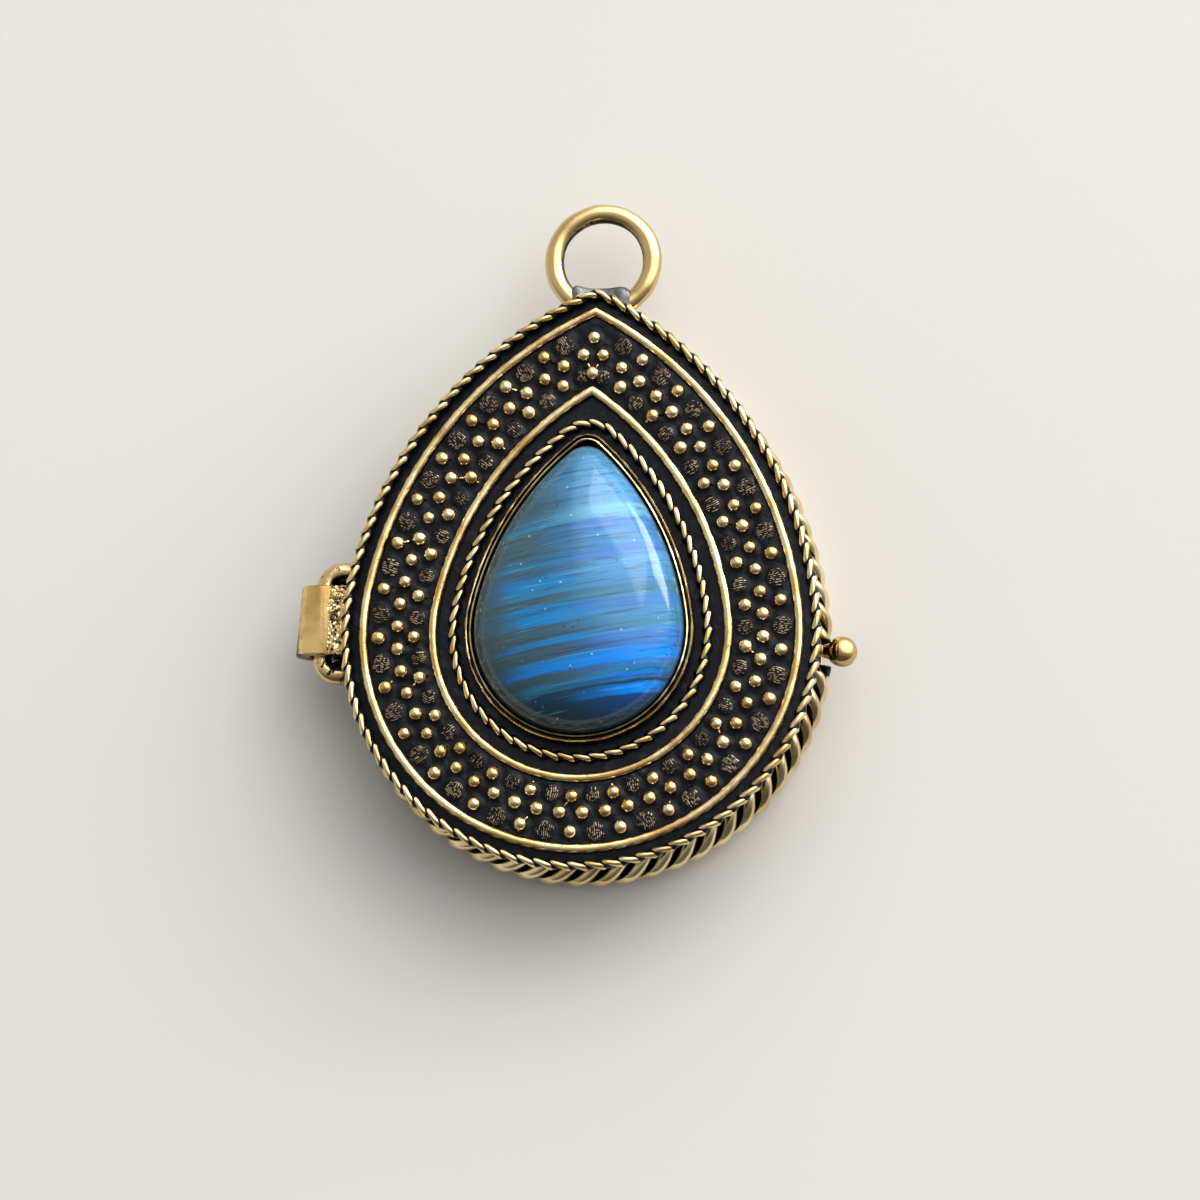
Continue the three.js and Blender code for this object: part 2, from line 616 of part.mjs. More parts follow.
// Leaf spring: its foot is soldered inside the collar and its nose bites in the keeper's window
function makeSpring() {
  const noseX = keeperInnerX + SPRING_NOSE_BITE;
  const leafOuterX = keeperInnerX - CATCH_TRAVEL;
  const leafInnerX = leafOuterX - SPRING_THICKNESS;
  const bottom = CATCH_HEIGHT - SPRING_HEIGHT / 2;
  const top = CATCH_HEIGHT + SPRING_HEIGHT / 2;
  const footStart = CATCH_Y - SPRING_FOOT_START;
  const footEnd = footStart - SPRING_FOOT_LENGTH;
  const noseHalf = SPRING_NOSE_WIDTH / 2;
  const leaf = boxOf([leafInnerX, footEnd, bottom], [leafOuterX, CATCH_Y + SPRING_FREE_END, top]);
  const foot = boxOf([leafInnerX, footEnd, bottom], [wallFaceX, footStart, top]);
  const nose = boxOf(
    [leafInnerX, CATCH_Y - noseHalf, CATCH_HEIGHT - noseHalf],
    [noseX, CATCH_Y + noseHalf, CATCH_HEIGHT + noseHalf],
  );
  const inside = plate(collarInner - SEAT_CLEARANCE, null, 0, lidBottom, wallTip);
  const spring = solid(leaf).add(solid(foot)).add(solid(nose)).intersect(solid(inside));
  add(caseBody, 'catch_spring', geometryOf(spring), 'wornBrass');
}

makeCase();
makeCaseRope();
makeBail();
makeLid();
makeGranuleField();
makeStone();
makeHinge();
makeCatch();

export default pendant;
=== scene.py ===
# Amulet box pendant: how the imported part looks. The case, the lid and the push catch are
# dressed piece by piece, in the order in which a jeweller would put them together.
import random
from math import acos, asin, atan2, copysign, cos, hypot, pi, radians, sin, sqrt

import bpy
from mathutils import Matrix, Vector, noise


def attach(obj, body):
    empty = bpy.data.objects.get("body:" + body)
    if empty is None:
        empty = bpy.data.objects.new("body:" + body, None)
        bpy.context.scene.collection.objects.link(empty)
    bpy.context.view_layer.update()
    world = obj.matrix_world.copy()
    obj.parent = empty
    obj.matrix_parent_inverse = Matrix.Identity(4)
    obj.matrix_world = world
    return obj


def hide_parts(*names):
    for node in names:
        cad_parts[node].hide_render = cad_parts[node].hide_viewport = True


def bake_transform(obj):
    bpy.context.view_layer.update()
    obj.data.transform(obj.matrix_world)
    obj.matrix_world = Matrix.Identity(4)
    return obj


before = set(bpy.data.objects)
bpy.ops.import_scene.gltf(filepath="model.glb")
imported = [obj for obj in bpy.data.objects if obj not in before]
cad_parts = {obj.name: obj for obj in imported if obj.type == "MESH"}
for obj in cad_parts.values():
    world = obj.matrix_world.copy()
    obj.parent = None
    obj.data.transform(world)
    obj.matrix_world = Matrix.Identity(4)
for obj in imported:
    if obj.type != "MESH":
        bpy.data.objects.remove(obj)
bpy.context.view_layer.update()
bpy.ops.object.select_all(action="DESELECT")


# Back plate: brass sheet sawn to a teardrop, its rim filed round. It lies against the wearer,
# so the patina is rubbed off most of it and it is finely scratched.
MM = 0.001
ROUND_RADIUS, SIDE_RADIUS, POINT_HEIGHT = 9.0, 24.2, 16.5
SIDE_SHIFT = SIDE_RADIUS - ROUND_RADIUS
BLEND = asin((SIDE_RADIUS**2 - SIDE_SHIFT**2 - POINT_HEIGHT**2) / (2 * POINT_HEIGHT * SIDE_SHIFT))
SIDE_LEFT, SIDE_DOWN = SIDE_SHIFT * cos(BLEND), SIDE_SHIFT * sin(BLEND)
BOTTOM_STEPS, SIDE_STEPS, TIP_STEPS = 36, 30, 8
CASE_TIP, BACK_OFFSET, BACK_TOP = -5.8, 10.9, 0.8
PLATE_MIDDLE = 4.0


def teardrop(offset, tip, fineness=1):
    """The teardrop grown by an offset, counter-clockwise from the bottom. tip is the radius of
    its point where the offset is 0."""
    radius = max(tip + offset, 0.0)
    side = SIDE_RADIUS + offset
    meet = acos(SIDE_LEFT / (side - radius))
    tip_y = sqrt((side - radius) ** 2 - SIDE_LEFT**2) - SIDE_DOWN
    arcs = (
        (0, 0, ROUND_RADIUS + offset, -pi / 2, BLEND, BOTTOM_STEPS * fineness),
        (-SIDE_LEFT, -SIDE_DOWN, side, BLEND, meet, SIDE_STEPS * fineness),
        (0, tip_y, radius, meet, pi / 2, TIP_STEPS * fineness),
    )
    right = []
    for x, y, arc_radius, start, end, steps in arcs:
        for step in range(steps):
            angle = start + (end - start) * step / steps
            right.append((x + arc_radius * cos(angle), y + arc_radius * sin(angle)))
    return right + [(0, tip_y + radius)] + [(-x, y) for x, y in reversed(right[1:])]


def pick(*pieces):
    """Selects these pieces alone, the first of them active"""
    bpy.ops.object.select_all(action="DESELECT")
    for piece in pieces:
        piece.select_set(True)
    bpy.context.view_layer.objects.active = pieces[0]


def edit(step, **settings):
    """Runs an operator on the whole mesh of the active piece"""
    bpy.ops.object.mode_set(mode="EDIT")
    bpy.ops.mesh.select_all(action="SELECT")
    step(**settings)
    bpy.ops.object.mode_set(mode="OBJECT")


def finish_mesh(piece, smooth_angle=40):
    """Merges what meets, turns the faces outwards and smooths all but the sharp edges"""
    pick(piece)
    edit(bpy.ops.mesh.remove_doubles, threshold=0.004 * MM)
    edit(bpy.ops.mesh.normals_make_consistent, inside=False)
    bpy.ops.object.shade_smooth_by_angle(angle=radians(smooth_angle))
    return piece


def name_piece(name):
    """Names the object just made and works its place, turn and scale into its mesh"""
    piece = bpy.context.object
    piece.name = piece.data.name = name
    bpy.ops.object.transform_apply(location=True, rotation=True, scale=True)
    return piece


def teardrop_ring(name, section, tip, fineness=1):
    """Ring with one closed section, a list of (offset, height), all round the teardrop"""
    rounds = [teardrop(offset, tip, fineness) for offset, _ in section]
    count, corners = len(rounds[0]), len(section)
    bpy.ops.mesh.primitive_grid_add(x_subdivisions=count, y_subdivisions=corners, size=1)
    ring = name_piece(name)
    for vertex in ring.data.vertices:
        station = round((vertex.co.x + 0.5) * count) % count
        corner = round((vertex.co.y + 0.5) * corners) % corners
        vertex.co = Vector((*rounds[corner][station], section[corner][1])) * MM
    return finish_mesh(ring)


def teardrop_solid(name, section, tip):
    """Solid teardrop. The section lists (offset, height, scale) from the bottom up."""
    rounds = [teardrop(offset, tip) for offset, _, _ in section]
    count, levels = len(rounds[0]), len(section) + 1
    bpy.ops.mesh.primitive_uv_sphere_add(segments=count, ring_count=levels, radius=1)
    body = name_piece(name)
    for vertex in body.data.vertices:
        level = levels - round(acos(max(-1, min(1, vertex.co.z))) / pi * levels)
        if level in (0, levels):
            vertex.co = Vector((0, 0, section[0 if level == 0 else -1][1])) * MM
            continue
        _, height, scale = section[level - 1]
        station = round(atan2(vertex.co.y, vertex.co.x) / (2 * pi) * count + count / 4)
        x, y = rounds[level - 1][station % count]
        vertex.co = Vector((x * scale, y * scale, height)) * MM
    return finish_mesh(body)


def rub_and_shade(piece, measure):
    """Stores how far the patina is rubbed off each point: 0 in a recess, 1 on a crest. On some
    pieces it also holds painted shade, low where a side is painted dark.
    """
    rubbed = piece.data.attributes.new("rubbed", "FLOAT", "POINT")
    for vertex in piece.data.vertices:
        share = measure(vertex.co / MM, vertex.normal)
        rubbed.data[vertex.index].value = max(0.0, min(1.0, share))


def rise(value, low, high):
    """Smooth step from 0 at the low value to 1 at the high one"""
    share = max(0.0, min(1.0, (value - low) / (high - low)))
    return share * share * (3 - 2 * share)


def feed(tree, socket, value):
    """Links a socket to another one or sets its value"""
    if isinstance(value, bpy.types.NodeSocket):
        tree.links.new(value, socket)
    else:
        socket.default_value = value


def node(tree, kind, inputs=(), **settings):
    """New shader node with its settings, and with its inputs fed by name or number"""
    made = tree.nodes.new("ShaderNode" + kind)
    for setting, value in settings.items():
        setattr(made, setting, value)
    for socket, value in dict(inputs).items():
        feed(tree, made.inputs[socket], value)
    return made


def math_node(tree, operation, *values):
    return node(tree, "Math", enumerate(values), operation=operation).outputs[0]


def mix_node(tree, kind, share, first, second):
    """Mix of two values or colours. Each kind has its own sockets on the node."""
    one, other, result = {"FLOAT": (2, 3, 0), "RGBA": (6, 7, 2)}[kind]
    made = node(tree, "Mix", {0: share, one: first, other: second}, data_type=kind)
    return made.outputs[result]


def ramp_node(tree, value, low, high, start=0.0, end=1.0):
    return node(tree, "MapRange", enumerate((value, low, high, start, end)),
                interpolation_type="SMOOTHSTEP").outputs[0]


def noise_node(tree, place, scale, detail, roughness=0.5):
    return node(tree, "TexNoise", {"Vector": place, "Scale": scale, "Detail": detail,
                                   "Roughness": roughness}).outputs["Fac"]


def stretched_place(tree, turn, scale):
    """Place on the piece, turned about Z and then stretched"""
    place = node(tree, "TexCoord").outputs["Object"]
    turned_place = node(tree, "VectorRotate", {"Vector": place, "Angle": turn},
                        rotation_type="Z_AXIS").outputs[0]
    return node(tree, "Mapping", {"Vector": turned_place, "Scale": scale}).outputs[0]


def shader_group(name, inputs, outputs):
    """Shader group with named sockets, each a Float or a Color"""
    tree = bpy.data.node_groups.new(name, "ShaderNodeTree")
    for side, sockets in (("INPUT", inputs), ("OUTPUT", outputs)):
        for socket, kind in sockets.items():
            tree.interface.new_socket(name=socket, in_out=side, socket_type="NodeSocket" + kind)
    return tree, tree.nodes.new("NodeGroupInput").outputs, tree.nodes.new("NodeGroupOutput").inputs


# Effect shared by all the brass: a black patina that is rubbed through to bright metal on the
# crests, with ragged edges, pits that keep the black, and metal that is paler or browner in turn.
# On some pieces the black also stands for painted shade.
BRIGHT_BRASS = (0.91, 0.71, 0.37, 1)
BROWN_BRASS = (0.58, 0.37, 0.13, 1)
BLACK_PATINA = (0.006, 0.007, 0.009, 1)
GREY_STAIN = (0.019, 0.022, 0.027, 1)
patina_group, given, out = shader_group("rubbed_patina", {
    "Rubbed And Shaded": "Float", "Brass": "Color", "Brown": "Color", "Patina": "Color", "Grain": "Float",
    "Wear": "Float", "Pits": "Float", "Brass Roughness": "Float", "Patina Roughness": "Float",
}, {"Base Color": "Color", "Roughness": "Float", "Metallic": "Float", "Height": "Float"})
tree = patina_group
place = node(tree, "TexCoord").outputs["Object"]
grime = noise_node(tree, place, given["Grain"], 4, 0.6)
pitting = noise_node(tree, place, math_node(tree, "MULTIPLY", given["Grain"], 5.0), 3, 0.6)
cloud = noise_node(tree, place, math_node(tree, "MULTIPLY", given["Grain"], 0.35), 3)
ragged = math_node(tree, "MULTIPLY", math_node(tree, "SUBTRACT", grime, 0.5), given["Wear"])
pitted = math_node(tree, "MULTIPLY", ramp_node(tree, pitting, 0.56, 0.72), given["Pits"])
bare = math_node(tree, "SUBTRACT", math_node(tree, "ADD", given["Rubbed And Shaded"], ragged), pitted)
bare = ramp_node(tree, bare, 0.38, 0.58)
metal = mix_node(tree, "RGBA", ramp_node(tree, cloud, 0.35, 0.68), given["Brass"], given["Brown"])
stain = mix_node(tree, "RGBA", ramp_node(tree, grime, 0.5, 0.72), given["Patina"], GREY_STAIN)
feed(tree, out["Base Color"], mix_node(tree, "RGBA", bare, stain, metal))
dulled = math_node(tree, "SUBTRACT", given["Brass Roughness"], 0.15)
dulled = math_node(tree, "MULTIPLY_ADD", pitting, 0.3, dulled)
feed(tree, out["Roughness"], mix_node(tree, "FLOAT", bare, given["Patina Roughness"], dulled))
feed(tree, out["Metallic"], math_node(tree, "MULTIPLY_ADD", bare, 0.2, 0.8))
lumps = math_node(tree, "MULTIPLY_ADD", grime, 0.6, math_node(tree, "MULTIPLY", pitting, 0.25))
feed(tree, out["Height"], math_node(tree, "MULTIPLY_ADD", bare, 0.5, lumps))

# Effect shared by the plain surfaces: fine rubbing scratches in two crossing directions
scratch_group, given, out = shader_group(
    "fine_scratches", {"Spacing": "Float", "Turn": "Float"}, {"Height": "Float"})
tree = scratch_group
lines = []
for lean in (0.0, 1.1):
    turn = math_node(tree, "ADD", given["Turn"], lean)
    lines.append(noise_node(tree, stretched_place(tree, turn, (0.04, 1.0, 1.0)),
                            given["Spacing"], 2, 0.7))
feed(tree, out["Height"], math_node(tree, "MULTIPLY", *lines))


def new_finish(name):
    """New material with its node tree and its shader's inputs"""
    finish = bpy.data.materials.new(name)
    finish.use_nodes = True
    return finish, finish.node_tree, finish.node_tree.nodes["Principled BSDF"].inputs


def raise_relief(tree, shader, height, relief):
    """Raises the surface by a pattern, as high as the relief in millimetres"""
    bump = node(tree, "Bump", {"Distance": relief * MM, "Height": height})
    feed(tree, shader["Normal"], bump.outputs["Normal"])


def lay_patina(tree, shader, settings):
    """Feeds a shader from the patina effect and returns the height of its surface"""
    made = node(tree, "Group", settings, node_tree=patina_group).outputs
    for socket in ("Base Color", "Roughness", "Metallic"):
        feed(tree, shader[socket], made[socket])
    return made["Height"]


def patinated_brass(name, grain=900, wear=0.5, pits=0.3, roughness=0.22, patina_roughness=0.27,
                    brass=BRIGHT_BRASS, brown=BROWN_BRASS, relief=0.02, scratches=None):
    """Brass with its patina rubbed off the crests, and on some pieces kept as painted shade. Relief
    is in millimetres.
    """
    finish, tree, shader = new_finish(name)
    height = lay_patina(tree, shader, {
        "Rubbed And Shaded": node(tree, "Attribute", attribute_name="rubbed").outputs["Fac"],
        "Brass": brass, "Brown": brown, "Patina": BLACK_PATINA, "Grain": grain, "Wear": wear,
        "Pits": pits, "Brass Roughness": roughness, "Patina Roughness": patina_roughness})
    if scratches:
        spacing, turn = scratches
        lines = node(tree, "Group", {"Spacing": spacing, "Turn": turn}, node_tree=scratch_group)
        height = math_node(tree, "MULTIPLY_ADD", lines.outputs["Height"], 0.8, height)
    raise_relief(tree, shader, height, relief)
    return finish


def dress(piece, finish, body, slot, *nodes):
    """Gives a piece its finish, the body it rides on and the CAD nodes that it stands for"""
    piece.data.materials.append(finish)
    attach(piece, body)
    if nodes:
        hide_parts(*nodes)


worn_sheet = patinated_brass("worn_sheet", grain=350, wear=0.55, pits=0.35, roughness=0.34,
                             scratches=(4200, 0.4))
back = teardrop_solid("back_plate_sheet", [
    (PLATE_MIDDLE, 0.0, 1), (10.3, 0.0, 1), (10.7, 0.04, 1), (BACK_OFFSET, 0.22, 1),
    (BACK_OFFSET, 0.58, 1), (10.75, 0.75, 1), (10.4, BACK_TOP, 1), (PLATE_MIDDLE, BACK_TOP, 1),
], CASE_TIP)
rub_and_shade(back, lambda at, normal: 0.62 if normal.z < -0.9 else 0.75 if normal.z < 0.5 else 0.2)
dress(back, worn_sheet, "case", "worn_brass", "back_plate")


# Case wall: a strip of brass bent to the teardrop and soldered upright on the back, black from
# the patina bath. The catch's bush passes through it on the right.
WALL_OUTER, WALL_INNER, WALL_TOP = 8.1, 7.3, 6.9
CATCH_Y, CATCH_HEIGHT = -0.5, 5.5
BORE_RADIUS, BORE_START, BORE_END = 1.03, 14.0, 19.0
WORN_EDGE = 0.4


def metres(*values):
    """Millimetres as Blender takes them"""
    return [value * MM for value in values]


def modify(piece, kind, **settings):
    """Changes the mesh of a piece with one modifier"""
    bpy.context.view_layer.objects.active = piece
    change = piece.modifiers.new(kind, kind)
    for setting, value in settings.items():
        setattr(change, setting, value)
    bpy.ops.object.modifier_apply(modifier=change.name)


def cut_out(piece, tool):
    """Cuts the shape of a tool out of a piece"""
    modify(piece, "BOOLEAN", object=tool, operation="DIFFERENCE", solver="EXACT")
    bpy.data.objects.remove(tool)


def upright_wall(name, outer, inner, bottom, top, tip, edge=0.1):
    """Strip on its edge, with a bevelled top edge and a loop where its wear ends"""
    return teardrop_ring(name, [
        (inner, bottom), (outer, bottom), (outer, top - WORN_EDGE), (outer, top - edge),
        (outer - edge, top), (inner + edge, top), (inner, top - edge), (inner, top - WORN_EDGE),
    ], tip)


def bored(wall):
    """The wall with the hole for the catch's bush"""
    bpy.ops.mesh.primitive_cylinder_add(
        vertices=32, radius=BORE_RADIUS * MM, depth=(BORE_END - BORE_START) * MM,
        location=metres((BORE_START + BORE_END) / 2, CATCH_Y, CATCH_HEIGHT),
        rotation=(0, pi / 2, 0))
    cut_out(wall, bpy.context.object)
    return finish_mesh(wall)


black_wall = patinated_brass("black_wall", grain=600, wear=0.6, pits=0.2)
wall = bored(upright_wall("case_wall_strip", WALL_OUTER, WALL_INNER, BACK_TOP, WALL_TOP, CASE_TIP))
rub_and_shade(wall, lambda at, normal: 0.7 if at.z > WALL_TOP - 0.15 else 0.15)
dress(wall, black_wall, "case", "dark_brass", "case_wall")


# Inner collar: a thinner strip inside the wall that stands up into the lid, so the lid's skirt
# slides over it. It is burnished by the lid and has the same bore.
COLLAR_OUTER, COLLAR_INNER, COLLAR_TOP = 7.15, 6.5, 7.8
inside_brass = patinated_brass("inside_brass", grain=500, pits=0.25, roughness=0.32,
                               brass=(0.68, 0.49, 0.23, 1), relief=0.015, scratches=(5200, 1.4))
collar = bored(upright_wall("inner_collar_strip", COLLAR_OUTER, COLLAR_INNER, BACK_TOP, COLLAR_TOP,
                            CASE_TIP))
rub_and_shade(collar, lambda at, normal: 0.85 if at.z > WALL_TOP else 0.5)
dress(collar, inside_brass, "case", "worn_brass", "inner_collar")


# Heavy rope: four round wires twisted left-handed, laid round the foot of the case and soldered
# to the back, where it is pressed flat. Its two ends stop either side of the catch. Only the
# crests are bright.
CASE_ROPE_OFFSET, CASE_ROPE_HEIGHT, CASE_ROPE_BREAK = 10.1, 2.5, 1.4
TRACK_POINTS, TRACK_FINENESS = 600, 6


def join(name, pieces):
    """Joins pieces into one mesh"""
    pick(*pieces)
    bpy.ops.object.join()
    return name_piece(name)


def line_through(places, closed=False):
    """Curve object that runs straight from place to place"""
    bpy.ops.curve.primitive_bezier_curve_add()
    curve = bpy.context.object
    curve.data.splines.clear()
    line = curve.data.splines.new("POLY")
    line.points.add(len(places) - 1)
    for point, place in zip(line.points, places):
        point.co = (*place, 1)
    line.use_cyclic_u = closed
    return curve


def rope_track(offset, tip, height, start=0.0, gap=0.0):
    """Line that a rope follows, with the length of it. It starts that far from the bottom."""
    outline = [Vector((x, y, height)) * MM for x, y in teardrop(offset, tip, TRACK_FINENESS)]
    count = len(outline)
    steps = [(outline[i] - outline[i - 1]).length for i in range(count)]
    length = sum(steps) - gap * MM
    closed = gap == 0
    places, index, passed = [], 0, 0.0
    for spot in range(TRACK_POINTS if closed else TRACK_POINTS + 1):
        wanted = start * MM + gap * MM / 2 + length * spot / TRACK_POINTS
        while passed + steps[(index + 1) % count] < wanted:
            index += 1
            passed += steps[index % count]
        share = (wanted - passed) / steps[(index + 1) % count]
        places.append(outline[index % count].lerp(outline[(index + 1) % count], share))
    track = line_through(places, closed)
    track.data.twist_mode = "Z_UP"
    return track, length / MM


def twisted_rope(name, track, length, strand_radius, lay_radius, crest, shape, measure,
                 strands=2, sides=18, steps=12, hand=1):
    """Strands twisted to a rope along a track. crest is the distance between two crests, hand is
    1 or -1, shape moves a point of the straight rope and measure says how rubbed it is."""
    circles = []
    for strand in range(strands):
        angle = 2 * pi * strand / strands
        bpy.ops.mesh.primitive_circle_add(
            vertices=sides, radius=strand_radius * MM, fill_type="NOTHING",
            location=metres(0, lay_radius * cos(angle), lay_radius * sin(angle)),
            rotation=(0, pi / 2, 0))
        circles.append(bpy.context.object)
    rope = join(name, circles)
    crests = round(length / crest)
    pitch = length / crests * MM
    modify(rope, "SCREW", axis="X", angle=hand * 2 * pi / strands, screw_offset=pitch,
           steps=steps, render_steps=steps)
    modify(rope, "ARRAY", count=crests, use_relative_offset=False, use_constant_offset=True,
           constant_offset_displace=(pitch, 0, 0), use_merge_vertices=True,
           merge_threshold=0.01 * MM)
    rub_and_shade(rope, measure)
    for vertex in rope.data.vertices:
        vertex.co = shape(vertex.co / MM) * MM
    modify(rope, "CURVE", object=track, deform_axis="POS_X")
    bpy.data.objects.remove(track)
    finish_mesh(rope, 60)
    edit(bpy.ops.mesh.fill_holes, sides=0)
    return rope


heavy_wire = patinated_brass("heavy_wire", grain=700, wear=0.4, roughness=0.19,
                             brass=(0.95, 0.77, 0.43, 1), brown=(0.62, 0.42, 0.19, 1))
foot_radius = ROUND_RADIUS + CASE_ROPE_OFFSET
catch_along = foot_radius * (pi / 2 + asin(CATCH_Y / foot_radius))
track, track_length = rope_track(CASE_ROPE_OFFSET, CASE_TIP, CASE_ROPE_HEIGHT, catch_along,
                                 CASE_ROPE_BREAK)
case_rope = twisted_rope(
    "case_rope_strands", track, track_length, strands=4, strand_radius=0.77, lay_radius=1.07,
    crest=2.05, sides=20, steps=9, hand=-1,
    shape=lambda at: Vector((at.x, at.y, max(at.z, BACK_TOP - CASE_ROPE_HEIGHT))),
    measure=lambda at, normal: rise(hypot(at.y, at.z), 1.36, 1.57) *
    rise(min(at.x, track_length - at.x), 0.2, 1.2))
dress(case_rope, heavy_wire, "case", "dark_brass", "case_rope")


# Bail ring: round wire bent to a ring, its joint hidden in a saddle of solder on the point of
# the wall. The ring is polished, with a painted dark reflection on its inner side. The solder
# stays black.
RING_Y, RING_HEIGHT, RING_RADIUS, RING_WIRE = 33.04, 5.6, 4.25, 0.82
RING_FOOT = Vector((0, RING_Y - RING_RADIUS, RING_HEIGHT))
SADDLE_Y, SADDLE_SIZE, SADDLE_HOLLOW = 27.65, (5.2, 5.9, 2.3), 0.09


def roughen(piece, amount, scale, seed=0.0):
    """Small hammered or flowed unevenness, in millimetres"""
    for vertex in piece.data.vertices:
        spot = vertex.co / (scale * MM) + Vector((seed, 0, 0))
        vertex.co += vertex.normal * noise.noise(spot) * amount * MM


def block(name, middle, size):
    """Box of a size round its middle, in millimetres"""
    bpy.ops.mesh.primitive_cube_add(size=1, location=metres(*middle), scale=metres(*size))
    return name_piece(name)


polished_brass = patinated_brass("polished_brass", grain=300, wear=0.35, pits=0.25, roughness=0.17,
                                 brass=(0.8, 0.58, 0.26, 1), brown=(0.54, 0.35, 0.13, 1),
                                 relief=0.012, scratches=(3800, 0.9))
bpy.ops.mesh.primitive_torus_add(
    major_segments=96, minor_segments=24, major_radius=RING_RADIUS * MM,
    minor_radius=RING_WIRE * MM, location=metres(0, RING_Y, RING_HEIGHT))
ring = name_piece("bail_ring_wire")
roughen(ring, 0.05, 1.9)
finish_mesh(ring, 60)
# Darker near the saddle, and painted dark on the inner side of the ring: a painted reflection.
rub_and_shade(ring, lambda at, normal: 0.25 + 0.75 * rise((at - RING_FOOT).length, 1.6, 2.6) - 0.62 * rise(
    -normal.dot(Vector((at.x, at.y - RING_Y, 0)).normalized()), 0.5, 0.9))
dress(ring, polished_brass, "case", "polished_brass", "bail_ring")

grey_solder = patinated_brass("grey_solder", wear=0.8, pits=0.2, roughness=0.3,
                              brass=(0.22, 0.215, 0.21, 1), brown=(0.1, 0.1, 0.1, 1), relief=0.03)
saddle = block("bail_saddle_solder", (0, SADDLE_Y, RING_HEIGHT), SADDLE_SIZE)
edit(bpy.ops.mesh.subdivide, number_cuts=2)
modify(saddle, "SUBSURF", levels=4, render_levels=4)
for vertex in saddle.data.vertices:
    if vertex.co.y > 28 * MM:
        vertex.co.y += (SADDLE_HOLLOW * (vertex.co.x / MM) ** 2 - 0.1) * MM
roughen(saddle, 0.16, 1.1)
finish_mesh(saddle, 60)
rub_and_shade(saddle, lambda at, normal: 0.2 + 0.4 * rise(normal.z, -0.3, 0.5))
dress(saddle, grey_solder, "case", "dark_brass", "bail_saddle")


# Hinge loop: round wire bent to a D, its two legs soldered to the left of the wall. The lid's
# strap turns on its straight part.
HINGE_X, HINGE_Y, HINGE_HEIGHT = -22.45, 0.6, 6.1
LEG_Y, LEG_END, CORNER, CORNER_STEPS, LOOP_WIRE = 4.5, -15.2, 1.4, 8, 0.8
half_loop = [(LEG_END, LEG_Y)]
for step in range(CORNER_STEPS + 1):
    angle = pi / 2 * step / CORNER_STEPS
    half_loop.append((HINGE_X + CORNER * (1 - sin(angle)), LEG_Y - CORNER * (1 - cos(angle))))
half_loop += [(x, -y) for x, y in reversed(half_loop)]
loop = line_through([metres(x, HINGE_Y + y, HINGE_HEIGHT) for x, y in half_loop])
loop.data.bevel_depth, loop.data.bevel_resolution = LOOP_WIRE * MM, 6
loop.data.use_fill_caps = True
bpy.ops.object.convert(target="MESH")
loop = name_piece("hinge_loop_wire")
finish_mesh(loop, 60)
# Dark towards the wall and on the inner and lower sides of the loop: patina, and painted shade
# where the lid and the strap cover it.
rub_and_shade(loop, lambda at, normal: 0.2 + 0.4 * rise(-at.x, 18.6, 20.6) * rise(
    0.8 * normal.z - normal.dot(Vector((-19.4 - at.x, HINGE_Y - at.y, 0)).normalized()), -0.2, 0.5))
loop_brass = patinated_brass("loop_brass", grain=420, wear=0.9, pits=0.35, roughness=0.17,
                             brass=(0.74, 0.55, 0.26, 1), brown=(0.33, 0.21, 0.08, 1),
                             scratches=(2800, 0.3))
dress(loop, loop_brass, "case", "polished_brass", "hinge_loop")

# Solder at the feet of the loop, grown to fill the hole in the loop with black solder that stands
# in for the shade there: a painted shadow. It stays clear of the strap between them.
SOLDER_X, SOLDER_CLEAR = -19.55, 3.07
feet = []
for side in (1, -1):
    bpy.ops.mesh.primitive_uv_sphere_add(
        segments=32, ring_count=16, radius=1 * MM, scale=(2.6, 1.05, 0.95),
        location=metres(SOLDER_X, HINGE_Y + side * (LEG_Y - 0.6), HINGE_HEIGHT - 0.3))
    feet.append(bpy.context.object)
loop_solder_and_shade = join("hinge_loop_solder_and_shade", feet)
roughen(loop_solder_and_shade, 0.12, 0.7)
for vertex in loop_solder_and_shade.data.vertices:
    beside = vertex.co.y / MM - HINGE_Y
    vertex.co.y = (HINGE_Y + copysign(max(abs(beside), SOLDER_CLEAR), beside)) * MM
finish_mesh(loop_solder_and_shade, 60)
rub_and_shade(loop_solder_and_shade, lambda at, normal: 0.15)
dress(loop_solder_and_shade, grey_solder, "case", "dark_brass")


# Catch bush: a short flanged tube, turned and soldered in the wall and the collar. It guides the
# stem of the catch.
def turned(name, profile, steps=40, smooth_angle=35):
    """Piece turned round the catch's axis. The profile lists (radius, x)."""
    bpy.ops.mesh.primitive_circle_add(vertices=len(profile), fill_type="NOTHING")
    piece = name_piece(name)
    for vertex, (radius, x) in zip(piece.data.vertices, profile):
        vertex.co = Vector((x, 0, radius)) * MM
    edit(bpy.ops.mesh.spin, steps=steps, angle=2 * pi, center=(0, 0, 0), axis=(1, 0, 0))
    for vertex in piece.data.vertices:
        vertex.co += Vector((0, CATCH_Y, CATCH_HEIGHT)) * MM
    return finish_mesh(piece, smooth_angle)


bush = turned("catch_bush_tube", [
    (0.65, 15.4), (0.7, 15.35), (1.0, 15.35), (1.0, 17.15), (1.25, 17.15), (1.35, 17.25),
    (1.35, 17.5), (1.25, 17.6), (0.7, 17.6), (0.65, 17.55),
])
rub_and_shade(bush, lambda at, normal: 0.7)
dress(bush, inside_brass, "case", "worn_brass", "catch_bush")


